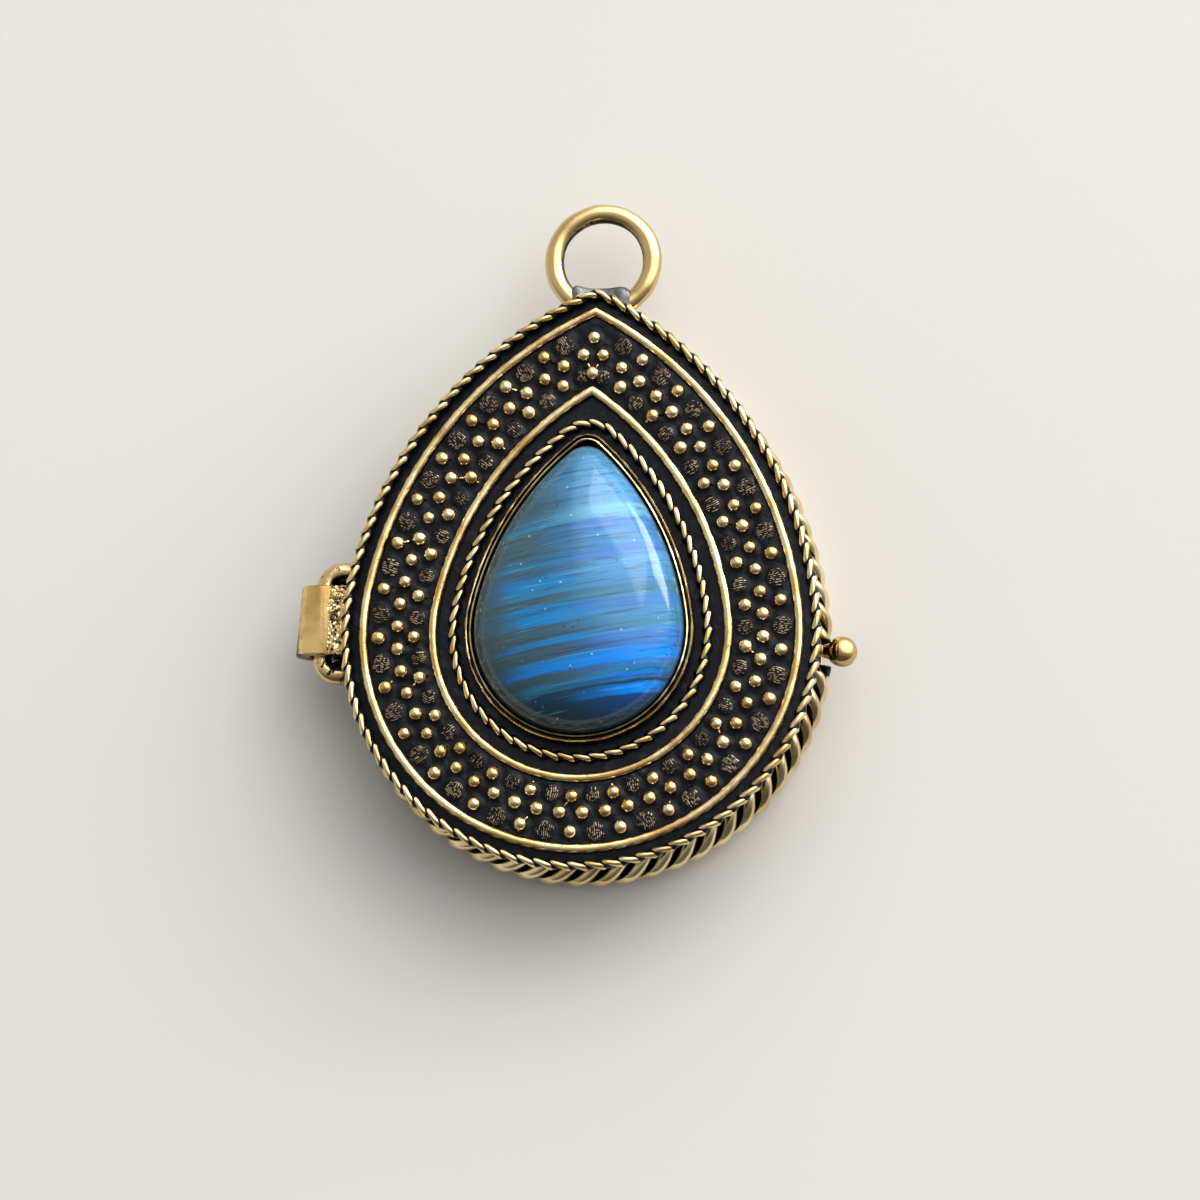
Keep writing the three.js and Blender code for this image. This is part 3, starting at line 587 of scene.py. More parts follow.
# Catch spring: a strip of hard brass soldered inside the collar by its foot, with a square nose
# that bites in the keeper's window. It bends when the ball is pushed.
SPRING_MIDDLE, SPRING_SIZE = (13.05, -3.6, CATCH_HEIGHT), (0.4, 9.2, 2.0)
SPRING_CUTS, CUT_START, CUT_STEP = 21, -7.6, 0.4
FOOT_SPAN, NOSE_SPAN, SPRING_REACH = (-8.2, -6.4), (-1.3, 0.3), 1.1


def draw_out(piece, chosen, reach):
    """Draws the faces that pass a test out along X"""
    edit(bpy.ops.mesh.select_all, action="DESELECT")
    for face in piece.data.polygons:
        face.select = chosen(face.center / MM, face.normal)
    bpy.ops.object.mode_set(mode="EDIT")
    bpy.ops.mesh.extrude_region_move(TRANSFORM_OT_translate={"value": (reach * MM, 0, 0)})
    bpy.ops.object.mode_set(mode="OBJECT")


spring = block("catch_spring_leaf", SPRING_MIDDLE, SPRING_SIZE)
for cut in range(SPRING_CUTS):
    edit(bpy.ops.mesh.bisect, plane_co=(0, (CUT_START + CUT_STEP * cut) * MM, 0),
         plane_no=(0, 1, 0))
for low, high in (FOOT_SPAN, NOSE_SPAN):
    draw_out(spring, lambda at, normal: normal.x > 0.9 and low < at.y < high, SPRING_REACH)
bpy.ops.object.mode_set(mode="EDIT")
bpy.ops.transform.resize(value=(1, 1, 0.8), center_override=(0, 0, CATCH_HEIGHT * MM))
bpy.ops.object.mode_set(mode="OBJECT")
modify(spring, "BEVEL", width=0.05 * MM, segments=2)
finish_mesh(spring)
rub_and_shade(spring, lambda at, normal: 0.75)
spring.data.materials.append(inside_brass)
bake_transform(spring)
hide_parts("catch_spring")


# Lid plate: the flat top of the box, wider than the wall and black from the bath. Everything on
# the lid is soldered to it. Only its filed edge shows metal.
LID_TIP, LID_OFFSET, LID_BOTTOM, LID_TOP = -9.45, 11.2, 8.0, 8.8
dark_sheet = patinated_brass("dark_sheet", grain=800, wear=0.55, pits=0.15, roughness=0.3,
                             patina_roughness=0.36, relief=0.035, scratches=(2600, 0.2))
lid_sheet = teardrop_solid("lid_plate_sheet", [
    (PLATE_MIDDLE, LID_BOTTOM, 1), (10.9, LID_BOTTOM, 1), (11.15, 8.12, 1), (LID_OFFSET, 8.25, 1),
    (LID_OFFSET, 8.6, 1), (11.1, 8.76, 1), (10.9, LID_TOP, 1), (PLATE_MIDDLE, LID_TOP, 1),
], LID_TIP)
rub_and_shade(lid_sheet, lambda at, normal: 0.55 if LID_BOTTOM + 0.1 < at.z < LID_TOP - 0.1 else 0.24)
dress(lid_sheet, dark_sheet, "lid", "dark_brass", "lid_plate")


# Lid skirt: a low rim under the plate, bent like the wall below it. It shuts over the collar
# and meets the wall's top edge.
SKIRT_BOTTOM = WALL_TOP + 0.1
skirt = upright_wall("lid_skirt_strip", WALL_OUTER, WALL_INNER, SKIRT_BOTTOM, LID_BOTTOM + 0.02,
                     CASE_TIP)
rub_and_shade(skirt, lambda at, normal: 0.6 if at.z < SKIRT_BOTTOM + 0.1 else 0.2)
dress(skirt, black_wall, "lid", "dark_brass", "lid_skirt")


# Edge rope of the lid: two wires twisted right-handed and rolled flat on top, soldered on the
# rim of the plate. The flats are rubbed bright and the grooves are black.
SMALL_ROPE_WIDTH, ROLLED_FLAT = 1.02, 0.45
EDGE_ROPE_OFFSET, EDGE_ROPE_RADIUS = 11.1, 0.575


def leaf_wear(at, low):
    """Wear of a small rope: bright where a turn stands high, pointed towards its sides"""
    radius = max(hypot(at.y, at.z), 0.01)
    return rise(radius - 0.1 * (at.y / radius) ** 2, low - 0.02, low + 0.02)


def rolled(at, outer, flat_top):
    """Point of a small rope, its turns drawn out to slanting leaves and rolled flat on top"""
    y = SMALL_ROPE_WIDTH / pi * asin(max(-1.0, min(1.0, at.y / outer)))
    z = flat_top + (at.z - flat_top) * ROLLED_FLAT if at.z > flat_top else at.z
    return Vector((at.x, y, z))


small_wire = patinated_brass("small_wire", grain=1100, wear=0.3, pits=0.25, roughness=0.2)
edge_rope = twisted_rope(
    "lid_edge_rope_strands", *rope_track(EDGE_ROPE_OFFSET, LID_TIP, LID_TOP + EDGE_ROPE_RADIUS),
    strand_radius=0.42, lay_radius=0.155, crest=1.46,
    shape=lambda at: rolled(at, EDGE_ROPE_RADIUS, 0.42),
    measure=lambda at, normal: leaf_wear(at, 0.45) * rise(at.z - 0.3 * at.y, 0.0, 0.16))
dress(edge_rope, small_wire, "lid", "worn_brass", "lid_edge_rope")


# Border wires: two plain wires, each mitred to a sharp point, that frame the granules. They are
# burnished on top, nicked here and there, and black where they meet the plate.
SHARP = -100.0
OUTER_WIRE_OFFSET, INNER_WIRE_OFFSET, BORDER_RADIUS, BORDER_SIDES = 9.6, 3.6, 0.4, 16
BURNISHED_FROM, BURNISHED_FLAT = 0.33, 0.6


def border_wire(node_name, offset):
    """Round wire with a burnished top, laid on the lid at an offset"""
    section = []
    for side in range(BORDER_SIDES):
        angle = 2 * pi * side / BORDER_SIDES
        height = BORDER_RADIUS * sin(angle)
        if height > BURNISHED_FROM:
            height = BURNISHED_FROM + (height - BURNISHED_FROM) * BURNISHED_FLAT
        section.append((offset + BORDER_RADIUS * cos(angle), LID_TOP + 0.37 + height))
    wire = teardrop_ring(node_name + "_round", section, SHARP, 2)
    roughen(wire, 0.025, 0.8, offset)
    rub_and_shade(wire, lambda at, normal: rise(normal.z, -0.2, 0.2))
    dress(wire, border_brass, "lid", "worn_brass", node_name)


border_brass = patinated_brass("border_brass", grain=1100, wear=0.45, pits=0.75, roughness=0.17,
                               relief=0.03)
border_wire("outer_border_wire", OUTER_WIRE_OFFSET)
border_wire("inner_border_wire", INNER_WIRE_OFFSET)


# Granule field: a ground sheet between the border wires with 28 diamonds of four granules
# melted on to it. Between the diamonds lie low pads chased with fine wavy strokes.
GROUND_TOP, GROUND_INNER, GROUND_WIDTH, GROUND_STEPS = 9.1, 4.05, 5.1, 26
GRANULE_RADIUS, GRANULE_SUNK = 0.65, 0.3
UNITS = 28
INNER_ROW, MIDDLE_ROW, OUTER_ROW = 5.2, 6.6, 8.2
PADS = ((5.0, 0.9), (8.2, 1.05))  # offset and radius
PAD_HEIGHT, FOOT_HEIGHT, STROKE_SPACING = 0.14, 0.1, 0.2
row_side = SIDE_RADIUS + MIDDLE_ROW
row_round = ROUND_RADIUS + MIDDLE_ROW
row_point = acos(SIDE_LEFT / row_side)
row_side_length = row_side * (row_point - BLEND)
half_row = row_side_length + row_round * (pi / 2 + BLEND)
unit_length = 2 * half_row / UNITS


def field_place(distance, offset):
    """Place square to the middle row, at a distance along it from the point"""
    along = abs(distance)
    if along == 0:
        return Vector((0, sqrt((SIDE_RADIUS + offset) ** 2 - SIDE_LEFT**2) - SIDE_DOWN))
    if along < row_side_length:
        angle, radius = row_point - along / row_side, SIDE_RADIUS + offset
        x, y = -SIDE_LEFT, -SIDE_DOWN
    else:
        angle, radius = BLEND - (along - row_side_length) / row_round, ROUND_RADIUS + offset
        x, y = 0, 0
    x += radius * cos(angle)
    return Vector((copysign(1, distance) * x, y + radius * sin(angle)))


unit_places, pad_places = [], []
for unit in range(UNITS):
    middle = unit * unit_length
    if middle > half_row:
        middle -= 2 * half_row
    unit_places.append([field_place(middle, INNER_ROW),
                        field_place(middle - unit_length / 4, MIDDLE_ROW),
                        field_place(middle + unit_length / 4, MIDDLE_ROW),
                        field_place(middle, OUTER_ROW)])
    between = middle + unit_length / 2
    lengthwise = field_place(between + 0.1, MIDDLE_ROW) - field_place(between - 0.1, MIDDLE_ROW)
    for offset, radius in PADS:
        pad_places.append((field_place(between, offset), radius, lengthwise.normalized()))
unit_places[0][0], unit_places[0][3] = Vector((0, 22.35)), Vector((0, 25.45))
granule_places = [spot for unit_granules in unit_places for spot in unit_granules]

section = [(GROUND_INNER + GROUND_WIDTH * step / GROUND_STEPS, GROUND_TOP)
           for step in range(GROUND_STEPS + 1)]
section += [(GROUND_INNER + GROUND_WIDTH, LID_TOP), (GROUND_INNER, LID_TOP)]
ground = teardrop_ring("granule_ground", section, SHARP, 4)
chased = ground.data.attributes.new("chased", "FLOAT", "POINT")
stroke = ground.data.attributes.new("stroke", "FLOAT", "POINT")
for vertex in ground.data.vertices:
    if vertex.co.z < (GROUND_TOP - 0.1) * MM:
        continue
    at = Vector((vertex.co.x / MM, vertex.co.y / MM))
    spot, size, lengthwise = min(pad_places, key=lambda place: (at - place[0]).length)
    pad = rise(size - (at - spot).length, 0.0, 0.45)
    foot = max(rise(0.85 - (at - granule).length, 0.0, 0.4) for granule in granule_places)
    chased.data[vertex.index].value = pad * (1 - foot)
    outwards = (at - spot).dot(Vector((lengthwise.y, -lengthwise.x)))
    stroke.data[vertex.index].value = (at - spot).dot(lengthwise) * (1 + 0.3 * abs(outwards)) * MM
    bumpy = noise.noise(Vector((at.x, at.y, 0)) * 1.7) * 0.05
    vertex.co.z += (PAD_HEIGHT * pad + FOOT_HEIGHT * foot + bumpy) * MM
rub_and_shade(ground, lambda at, normal: 0.12)

ground_finish, tree, shader = new_finish("chased_ground")
place = node(tree, "TexCoord").outputs["Object"]
pad = node(tree, "Attribute", attribute_name="chased").outputs["Fac"]
across = node(tree, "Attribute", attribute_name="stroke").outputs["Fac"]
winding = math_node(tree, "MULTIPLY_ADD", noise_node(tree, place, 1500, 1), 0.35 * MM, across)
wave = math_node(tree, "MULTIPLY", winding, 2 * pi / (STROKE_SPACING * MM))
wave = math_node(tree, "SINE", wave)
broken = ramp_node(tree, noise_node(tree, place, 4200, 1), 0.42, 0.54)
patchy = noise_node(tree, place, 420, 2)
punched = math_node(tree, "MULTIPLY", ramp_node(tree, wave, 0.0, 0.5), broken)
strength = math_node(tree, "MULTIPLY_ADD", patchy, 0.9, math_node(tree, "SUBTRACT", pad, 0.83))
bright = math_node(tree, "MULTIPLY", punched, ramp_node(tree, strength, 0.0, 0.3))
surface = lay_patina(tree, shader, {
    "Rubbed And Shaded": math_node(tree, "MULTIPLY_ADD", bright, 0.62, 0.1), "Brass": (0.5, 0.38, 0.21, 1),
    "Brown": (0.2, 0.14, 0.07, 1), "Patina": BLACK_PATINA, "Grain": 900, "Wear": 0.35, "Pits": 0.1,
    "Brass Roughness": 0.35, "Patina Roughness": 0.26})
relief = math_node(tree, "ADD", math_node(tree, "MULTIPLY", punched, pad), surface)
raise_relief(tree, shader, relief, 0.08)
dress(ground, ground_finish, "lid", "dark_brass")

random.seed(7)
grains = []
for spot in granule_places:
    size = random.uniform(0.92, 1.03)
    scale = (size, size * random.uniform(0.97, 1.03), size)
    turn = [random.uniform(0, 3) for _ in range(3)]
    bpy.ops.mesh.primitive_ico_sphere_add(
        subdivisions=2, radius=GRANULE_RADIUS * MM, scale=scale, rotation=turn,
        location=metres(spot.x, spot.y, GROUND_TOP + GRANULE_RADIUS - GRANULE_SUNK))
    grains.append(bpy.context.object)
granules = join("granules", grains)
bpy.ops.object.shade_smooth()
granule_brass = patinated_brass("granule_brass", grain=1300, wear=0.25, pits=0.2, roughness=0.2,
                                relief=0.012)
rub_and_shade(granules, lambda at, normal: rise(normal.z, -0.5, 0.05))
dress(granules, granule_brass, "lid", "worn_brass", "granule_field")

# Solder that has run between some of the granules
links = []
for inner, left, right, outer in unit_places:
    inwards = (inner - outer).normalized()
    runs = [(inner, inner + inwards * 1.3, 0.8), (outer, outer - inwards * 1.1, 0.5),
            (inner, left, 0.35), (inner, right, 0.35), (outer, left, 0.25), (outer, right, 0.25)]
    for start, end, chance in runs:
        if random.random() > chance:
            continue
        onwards = (end - start).normalized()
        near = start + onwards * 0.5
        far = start + onwards * min((end - start).length - 0.45, 0.5 + random.uniform(0.35, 0.6))
        width = random.uniform(0.09, 0.15)
        bpy.ops.mesh.primitive_uv_sphere_add(
            segments=8, ring_count=5, radius=1 * MM,
            location=metres((near.x + far.x) / 2, (near.y + far.y) / 2, GROUND_TOP + 0.22),
            rotation=(0, 0, atan2(onwards.y, onwards.x)),
            scale=(max((far - near).length / 2, 0.1), width, width))
        links.append(bpy.context.object)
solder_links = join("granule_solder_links", links)
bpy.ops.object.shade_smooth()
rub_and_shade(solder_links, lambda at, normal: rise(normal.z, 0.3, 0.9) * rise(
    noise.noise(at * 0.7), 0.1, 0.3))
dress(solder_links, granule_brass, "lid", "worn_brass")


# Rope round the bezel: two wires twisted right-handed in a black channel, so only the worn crest
# of each turn shows as a bright bead.
BEZEL_TIP, STONE_ROPE_OFFSET = 1.2, 1.85
stone_rope = twisted_rope(
    "stone_rope_strands", *rope_track(STONE_ROPE_OFFSET, BEZEL_TIP, LID_TOP + 0.475),
    strand_radius=0.39, lay_radius=0.13, crest=1.35, shape=lambda at: rolled(at, 0.52, 0.34),
    measure=lambda at, normal: leaf_wear(at, 0.41) * rise(at.z, 0.04, 0.18))
dress(stone_rope, small_wire, "lid", "worn_brass", "stone_rope")


# Bezel: a thin collar soldered round the stone's seat and rubbed over its edge. A groove parts
# the outer lip from the inner one that holds the stone, and both lips are bright.
bezel_brass = patinated_brass("bezel_brass", grain=1200, wear=0.75, pits=0.6, roughness=0.18)
bezel = teardrop_ring("bezel_collar_lip", [
    (0.15, LID_TOP), (0.78, LID_TOP), (0.78, 9.9), (0.74, 10.2), (0.69, 10.42), (0.62, 10.5),
    (0.55, 10.47), (0.5, 10.3), (0.46, 10.0), (0.38, 10.0), (0.35, 10.35), (0.29, 10.55),
    (0.2, 10.6), (0.13, 10.52), (0.1, 10.3), (0.1, 9.9),
], BEZEL_TIP, 2)
roughen(bezel, 0.06, 0.7)
rub_and_shade(bezel, lambda at, normal: rise(at.z, 10.25, 10.42) * rise(normal.z, -0.2, 0.4))
dress(bezel, bezel_brass, "lid", "worn_brass", "bezel_collar")


# Bearing: the ledge inside the bezel that the stone sits on, black and hidden under it.
STONE_TIP, STONE_BOTTOM = 2.2, 9.4
bearing = upright_wall("stone_bearing_ledge", 0.05, -1.15, LID_TOP, STONE_BOTTOM - 0.02,
                       STONE_TIP, 0.08)
rub_and_shade(bearing, lambda at, normal: 0.2)
dress(bearing, black_wall, "lid", "dark_brass", "stone_bearing")


# Stone: a pear-shaped cabochon, cut with a low girdle and a full dome and polished like glass.
# Blue and slate layers lie across it and flash, and towards its thin, clear edge the colour is
# painted darker grey, as painted shade and dark reflection.
STONE_OFFSET, GIRDLE_TOP, DOME, FULLNESS, DOME_STEPS = -0.05, 10.1, 4.6, 2.3, 22
LAYER_LEAN, THREAD_LEAN, HAIRLINE_LEAN = -12, -12.8, 74
levels = [(0, STONE_BOTTOM, 0.5), (0, STONE_BOTTOM, 0.97), (0, 9.46, 0.99),
          (STONE_OFFSET, GIRDLE_TOP, 1.0)]
for step in range(1, DOME_STEPS):
    angle = pi / 2 * step / DOME_STEPS
    levels.append((STONE_OFFSET, GIRDLE_TOP + DOME * sin(angle) ** (2 / FULLNESS),
                   cos(angle) ** (2 / FULLNESS)))
stone = teardrop_solid("stone_cabochon", levels, STONE_TIP)
bpy.ops.object.shade_smooth()
# Towards the girdle the colour turns darker grey: painted shade and dark reflection at the clear
# edge.
rim = stone.data.attributes.new("rim", "FLOAT", "POINT")
for vertex in stone.data.vertices:
    rim.data[vertex.index].value = 1 - rise(vertex.co.z / MM, GIRDLE_TOP, GIRDLE_TOP + 2.6)

blue_stone, tree, shader = new_finish("layered_blue_stone")


def layered_noise(lean, scale, detail, roughness):
    """Noise in layers that lean by some degrees, with its scale in millimetres"""
    place = stretched_place(tree, radians(lean), [value / MM for value in scale])
    return noise_node(tree, place, 1.0, detail, roughness)


def layer_tones(height, tones):
    """Colours of the layers by their height across the stone, in millimetres"""
    low, high = tones[0][0], tones[-1][0]
    share = math_node(tree, "DIVIDE", math_node(tree, "SUBTRACT", height, low), high - low)
    made = node(tree, "ValToRGB", {"Fac": share})
    steps = made.color_ramp.elements
    steps[0].color, steps[1].color = (*tones[0][1], 1), (*tones[-1][1], 1)
    for at, tone in tones[1:-1]:
        steps.new((at - low) / (high - low)).color = (*tone, 1)
    return made.outputs[0]


NIGHT, DUSK, SLATE = (0.014, 0.042, 0.062), (0.014, 0.05, 0.09), (0.035, 0.085, 0.12)
STEEL, LAKE, AZURE = (0.02, 0.16, 0.28), (0.002, 0.17, 0.42), (0.0, 0.19, 0.64)
SKY, PALE, ICE = (0.022, 0.19, 0.4), (0.05, 0.245, 0.49), (0.12, 0.38, 0.56)
VIOLET, TEAL, GLOW = (0.02, 0.145, 0.47), (0.045, 0.105, 0.12), (0.0, 0.25, 0.88)
INK, DEEP_INK = (0.01, 0.06, 0.2), (0.01, 0.07, 0.24)
left_tones = (
    (-9.0, NIGHT), (-7.2, NIGHT), (-6.2, DUSK), (-5.75, DUSK), (-5.6, STEEL), (-5.1, STEEL),
    (-4.95, SLATE), (-4.15, SLATE), (-4.05, AZURE), (-3.05, LAKE), (-2.95, SLATE), (-1.85, SLATE),
    (-1.75, LAKE), (-1.35, LAKE), (-1.25, SLATE), (-0.1, SLATE), (0.0, LAKE), (1.15, LAKE),
    (1.22, DUSK), (1.3, LAKE), (1.6, LAKE), (1.7, SLATE), (2.35, SLATE), (2.5, STEEL),
    (3.6, LAKE), (4.9, SLATE), (5.1, STEEL), (6.2, SLATE), (8.1, TEAL), (8.3, STEEL),
    (9.6, SLATE), (16.0, TEAL))
right_tones = (
    (-9.0, DUSK), (-7.6, INK), (-6.85, DEEP_INK), (-6.75, GLOW), (-6.0, GLOW), (-5.9, DUSK),
    (-5.7, DUSK), (-5.6, VIOLET), (-5.05, AZURE), (-4.95, SKY), (-4.15, VIOLET), (-4.05, GLOW),
    (-3.0, AZURE), (-2.9, VIOLET), (-1.8, VIOLET), (-1.35, SKY), (-1.25, STEEL), (-0.1, SKY),
    (0.0, SKY), (1.2, VIOLET), (1.3, STEEL), (2.3, STEEL), (2.45, SKY), (4.5, PALE),
    (5.2, VIOLET), (6.3, SKY), (8.1, VIOLET), (8.2, PALE), (9.2, ICE), (9.8, PALE),
    (11.5, PALE), (16.0, STEEL))
drift = layered_noise(LAYER_LEAN, (0.12, 0.25, 0.2), 2, 0.5)
ripple = layered_noise(LAYER_LEAN, (0.5, 1.1, 1.0), 2, 0.6)
leaning = stretched_place(tree, radians(LAYER_LEAN), [1 / MM] * 3)
axes = node(tree, "SeparateXYZ", {0: leaning}).outputs
height = math_node(tree, "MULTIPLY_ADD", drift, 0.7, math_node(tree, "SUBTRACT", axes["Y"], 0.45))
height = math_node(tree, "MULTIPLY_ADD", ripple, 0.2, height)
sideways = math_node(tree, "SUBTRACT", axes["X"], 3.0)
for wander in (ripple, drift):
    sideways = math_node(tree, "MULTIPLY_ADD", wander, 3.0, sideways)
colour = mix_node(tree, "RGBA", ramp_node(tree, sideways, -3.0, 4.5),
                  layer_tones(height, left_tones), layer_tones(height, right_tones))

# Over the layers lie dark and pale streaks, dark threads, a grey left side, a darker grey edge
# painted as shade and dark reflection, and specks that flash or are hollow
streaks = layered_noise(LAYER_LEAN, (0.09, 3.6, 0.6), 3, 0.65)
threads = layered_noise(THREAD_LEAN, (0.035, 5.0, 0.3), 1, 0.5)
near_thread = math_node(tree, "ABSOLUTE", math_node(tree, "SUBTRACT", threads, 0.52))
left_side = ramp_node(tree, sideways, -7.5, -4.2, 1, 0)
edge = node(tree, "Attribute", attribute_name="rim").outputs["Fac"]
place = node(tree, "TexCoord").outputs["Object"]
specks = node(tree, "TexVoronoi", {"Scale": 1700, "Vector": place}).outputs
chance = node(tree, "SeparateColor", {0: specks["Color"]}).outputs
spot = ramp_node(tree, specks["Distance"], 0.1, 0.2, 1, 0)
for share, tone in (
    (ramp_node(tree, streaks, 0.52, 0.68, 0, 0.6), (0.012, 0.05, 0.1)),
    (ramp_node(tree, streaks, 0.44, 0.3, 0, 0.25), (0.15, 0.45, 0.68)),
    (ramp_node(tree, near_thread, 0.004, 0.016, 0.6, 0), (0.008, 0.05, 0.08)),
    (math_node(tree, "MULTIPLY", left_side, 0.85), (0.035, 0.075, 0.078)),
    (math_node(tree, "MULTIPLY", edge, 0.6), (0.05, 0.085, 0.09)),
    (math_node(tree, "MULTIPLY", spot, ramp_node(tree, chance[0], 0.88, 0.9, 0, 0.5)),
     (0.5, 0.66, 0.7)),
    (math_node(tree, "MULTIPLY", spot, ramp_node(tree, chance[1], 0.86, 0.88, 0, 0.7)),
     (0.01, 0.02, 0.03)),
):
    colour = mix_node(tree, "RGBA", share, colour, (*tone, 1))
feed(tree, shader["Base Color"], colour)
shader["Roughness"].default_value = 0.08
shader["IOR"].default_value = 1.47
raise_relief(tree, shader, layered_noise(HAIRLINE_LEAN, (0.3, 9.0, 3.0), 2, 0.7), 0.004)
dress(stone, blue_stone, "lid", "blue_stone", "stone")


# Hinge strap: a strip of sheet rolled round the loop, its tongue soldered under the lid. The
# roll is polished, and rough solder has run over the tongue beside the lid.
STRAP_INNER, STRAP_OUTER, STRAP_HALF, STRAP_END = 1.0, 1.9, 3.0, -17.15
bpy.ops.mesh.primitive_plane_add(
    size=1, rotation=(0, pi / 2, 0),
    location=metres(HINGE_X, HINGE_Y, HINGE_HEIGHT + (STRAP_INNER + STRAP_OUTER) / 2))
bpy.context.object.scale = ((STRAP_OUTER - STRAP_INNER) * MM, 2 * STRAP_HALF * MM, 1)
strap = name_piece("hinge_strap_roll")
edit(bpy.ops.mesh.spin, steps=28, angle=radians(240), axis=(0, 1, 0),
     center=metres(HINGE_X, HINGE_Y, HINGE_HEIGHT))
draw_out(strap, lambda at, normal: abs(normal.x) > 0.99 and abs(at.x - HINGE_X) < 0.01 and
         at.z > HINGE_HEIGHT, STRAP_END - HINGE_X)
edit(bpy.ops.mesh.remove_doubles, threshold=0.004 * MM)
edit(bpy.ops.mesh.fill_holes, sides=0)
edit(bpy.ops.mesh.normals_make_consistent, inside=False)
modify(strap, "BEVEL", width=0.14 * MM, segments=3, limit_method="ANGLE", angle_limit=radians(50))
finish_mesh(strap, 45)
for vertex in strap.data.vertices:
    bulge = rise(HINGE_X - vertex.co.x / MM, 0.0, STRAP_OUTER)
    vertex.co.x -= bulge * (0.28 + 0.12 * (HINGE_Y - vertex.co.y / MM) / STRAP_HALF) * MM
roughen(strap, 0.05, 1.3)
# Darker down the outer left side of the roll: painted shade on the side that turns away from the
# light. The ends of the roll and the tongue are darker too.
rub_and_shade(strap, lambda at, normal: 0.95 -
    0.5 * rise(abs(at.y - HINGE_Y), STRAP_HALF - 0.25, STRAP_HALF) -
    0.35 * rise(HINGE_X - at.x, 1.5, 2.2) - 0.3 * rise(at.x - HINGE_X, 0.2, 1.2))
strap_brass = patinated_brass("strap_brass", grain=800, wear=0.45, pits=0.2, roughness=0.19,
                              brass=(0.93, 0.65, 0.26, 1), brown=(0.6, 0.36, 0.11, 1),
                              relief=0.035, scratches=(2200, 1.5))
dress(strap, strap_brass, "lid", "polished_brass", "hinge_strap")

solder = block("hinge_strap_solder", (-21.1, HINGE_Y, 7.98), (1.3, 5.8, 0.3))
edit(bpy.ops.mesh.subdivide, number_cuts=40)
roughen(solder, 0.3, 0.4)
roughen(solder, 0.16, 0.17, 5.0)
finish_mesh(solder, 60)
rub_and_shade(solder, lambda at, normal: 0.1 + rise(at.z, 8.0, 8.2) * 0.8)
rough_solder = patinated_brass("rough_solder", grain=1600, wear=0.6, pits=0.5, roughness=0.26,
                               relief=0.05)
dress(solder, rough_solder, "lid", "worn_brass")


# Keeper: a small plate with a square window, soldered under the lid. The spring's nose bites in
# the window and holds the box shut.
KEEPER_X, KEEPER_SIZE, WINDOW = 14.3, (0.5, 3.4, 4.2), 2.2
keeper = block("catch_keeper_plate", (KEEPER_X, CATCH_Y, 5.9), KEEPER_SIZE)
cut_out(keeper, block("keeper_window", (KEEPER_X, CATCH_Y, CATCH_HEIGHT), (WINDOW,) * 3))
modify(keeper, "BEVEL", width=0.07 * MM, segments=2, limit_method="ANGLE")
finish_mesh(keeper)
rub_and_shade(keeper, lambda at, normal: 0.75)
dress(keeper, inside_brass, "lid", "worn_brass", "catch_keeper")


# Catch ball: a cast ball soldered on the stem, polished by the thumb, with a bright collar of
# solder where the stem enters it.
BALL_X, BALL_RADIUS, BALL_STEPS, BALL_START = 22.0, 1.3, 15, radians(152)
profile = [(0, 20.35), (0.52, 20.4), (0.62, 20.75), (0.7, 20.98)]
for step in range(1, BALL_STEPS):
    angle = BALL_START * (1 - step / BALL_STEPS)
    profile.append((BALL_RADIUS * sin(angle), BALL_X + BALL_RADIUS * cos(angle)))
profile.append((0, BALL_X + BALL_RADIUS))
ball = turned("catch_ball_cast", profile, 32, 60)
roughen(ball, 0.05, 0.9)
finish_mesh(ball, 60)
# Brighter on the side that faces the upper right and darker on the lower left: painted light and
# shade.
rub_and_shade(ball, lambda at, normal: 0.5 + 0.45 * rise(normal.dot(Vector((0.4, 0.5, 0.77))), -0.3, 0.5))
dress(ball, polished_brass, "catch", "polished_brass", "catch_ball")


# Catch stem: a turned pin that slides in the bush, with a flat head inside the box that pushes
# the spring's nose out of the keeper.
stem = turned("catch_stem_pin", [
    (0, 14.75), (0.82, 14.75), (0.9, 14.83), (0.9, 15.07), (0.82, 15.15), (0.5, 15.15),
    (0.5, 20.8), (0, 20.8),
])
rub_and_shade(stem, lambda at, normal: 0.85)
dress(stem, inside_brass, "catch", "worn_brass", "catch_stem")


# Studio: a pale floor, a soft sky that is darker on the near side, a broad key lamp at the upper
# right and a low strip lamp whose reflection runs down the right of the stone
bpy.ops.mesh.primitive_plane_add(size=3, location=(0, 0, -0.02 * MM))
floor = bpy.context.object
floor.name = "floor"
floor_paint, _, shader = new_finish("pale_floor")
shader["Base Color"].default_value = (0.6, 0.58, 0.54, 1)
shader["Roughness"].default_value = 0.7
floor.data.materials.append(floor_paint)

world = bpy.data.worlds.new("soft_sky")
bpy.context.scene.world = world
world.use_nodes = True
tree = world.node_tree
sky = tree.nodes["Background"].inputs
sky["Color"].default_value = (0.98, 0.99, 1, 1)
towards = node(tree, "TexCoord").outputs["Generated"]


def sky_side(direction, low, high, strength):
    """Light that grows towards one side of the sky"""
    facing = node(tree, "VectorMath", {0: towards, 1: Vector(direction).normalized()},
                  operation="DOT_PRODUCT").outputs["Value"]
    return ramp_node(tree, facing, low, high, 0, strength)


whole_sky = math_node(tree, "ADD", sky_side((0, 1, 0), -0.8, 0.1, 0.5), 0.12)
bright_side = sky_side((0.5, 0.68, 0.54), 0.5, 0.85, 2.1)
feed(tree, sky["Strength"], math_node(tree, "ADD", bright_side, whole_sky))


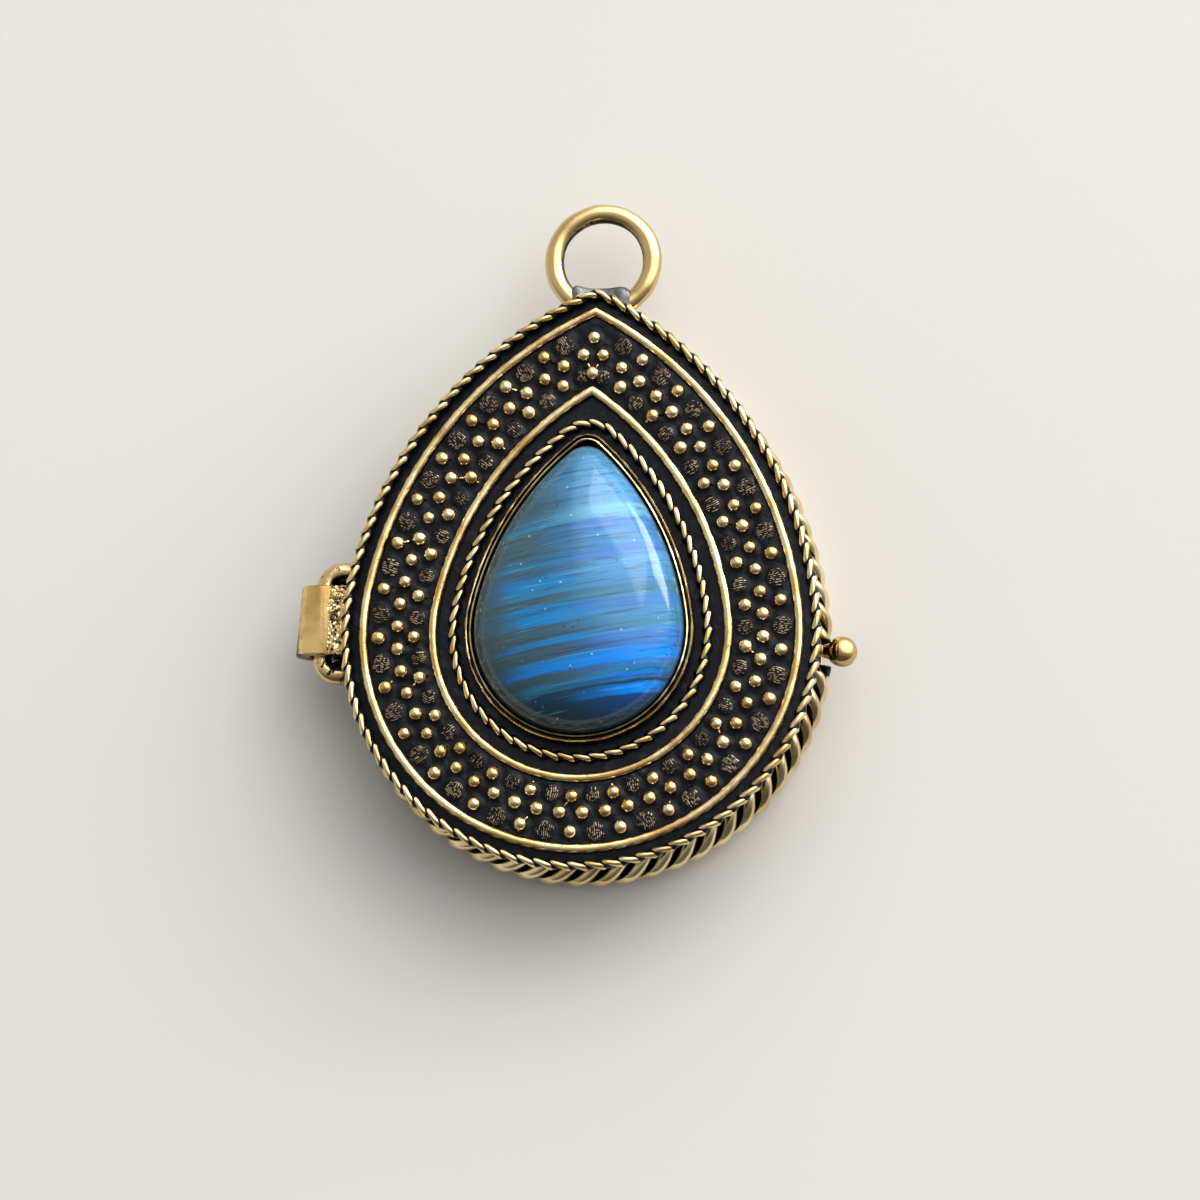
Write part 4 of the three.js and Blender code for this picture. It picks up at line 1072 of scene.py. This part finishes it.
def soft_lamp(name, place, size, power, colour, along=(0, 0, 1)):
    """Rectangular lamp that faces the pendant, its height laid along a direction"""
    bpy.ops.object.light_add(type="AREA", location=place)
    lamp = bpy.context.object
    lamp.name = name
    lamp.data.shape = "RECTANGLE"
    lamp.data.size, lamp.data.size_y = size
    lamp.data.energy, lamp.data.color = power, colour
    facing = Vector(place).normalized()
    side = Vector(along).cross(facing).normalized()
    lamp.rotation_euler = Matrix((side, facing.cross(side), facing)).transposed().to_euler()


soft_lamp("key_lamp", (0.316, 0.452, 0.431), (0.42, 0.42), 1.66, (1, 0.98, 0.94))
soft_lamp("strip_lamp", (0.487, 0.341, 0.083), (0.24, 0.235), 1.6, (1, 1, 1),
          along=(0.415, -0.736, 0.536))

# Camera: nearly straight above, leaning a little to the lower right of the pendant, as in the
# photograph
AZIMUTH, ELEVATION, ROLL = radians(33), radians(77.5), radians(-2.8)
PIXELS_PER_MM, IMAGE_SIZE, DISTANCE, SENSOR = 11.8, 1200, 520, 36
LID_CENTRE, LID_CENTRE_PIXEL = Vector((0, 0, 9)), (580.5, 631.5)
back = Vector((sin(AZIMUTH) * cos(ELEVATION), -cos(AZIMUTH) * cos(ELEVATION), sin(ELEVATION)))
up = (Vector((0, 1, 0)) - back * back.y).normalized()
right = up.cross(back)
image_right = right * cos(ROLL) - up * sin(ROLL)
image_up = right * sin(ROLL) + up * cos(ROLL)
across = (IMAGE_SIZE / 2 - LID_CENTRE_PIXEL[0]) / PIXELS_PER_MM
upwards = (LID_CENTRE_PIXEL[1] - IMAGE_SIZE / 2) / PIXELS_PER_MM
stand = LID_CENTRE + image_right * across + image_up * upwards + back * DISTANCE
bpy.ops.object.camera_add()
camera = bpy.context.object
camera.matrix_world = Matrix.Translation(stand * MM) @ Matrix(
    (image_right, image_up, back)).transposed().to_4x4()
camera.data.sensor_width = SENSOR
camera.data.lens = SENSOR * DISTANCE / (IMAGE_SIZE / PIXELS_PER_MM)
camera.data.clip_start, camera.data.clip_end = 0.01, 20
bpy.context.scene.camera = camera
bpy.context.scene.view_settings.view_transform = "Standard"
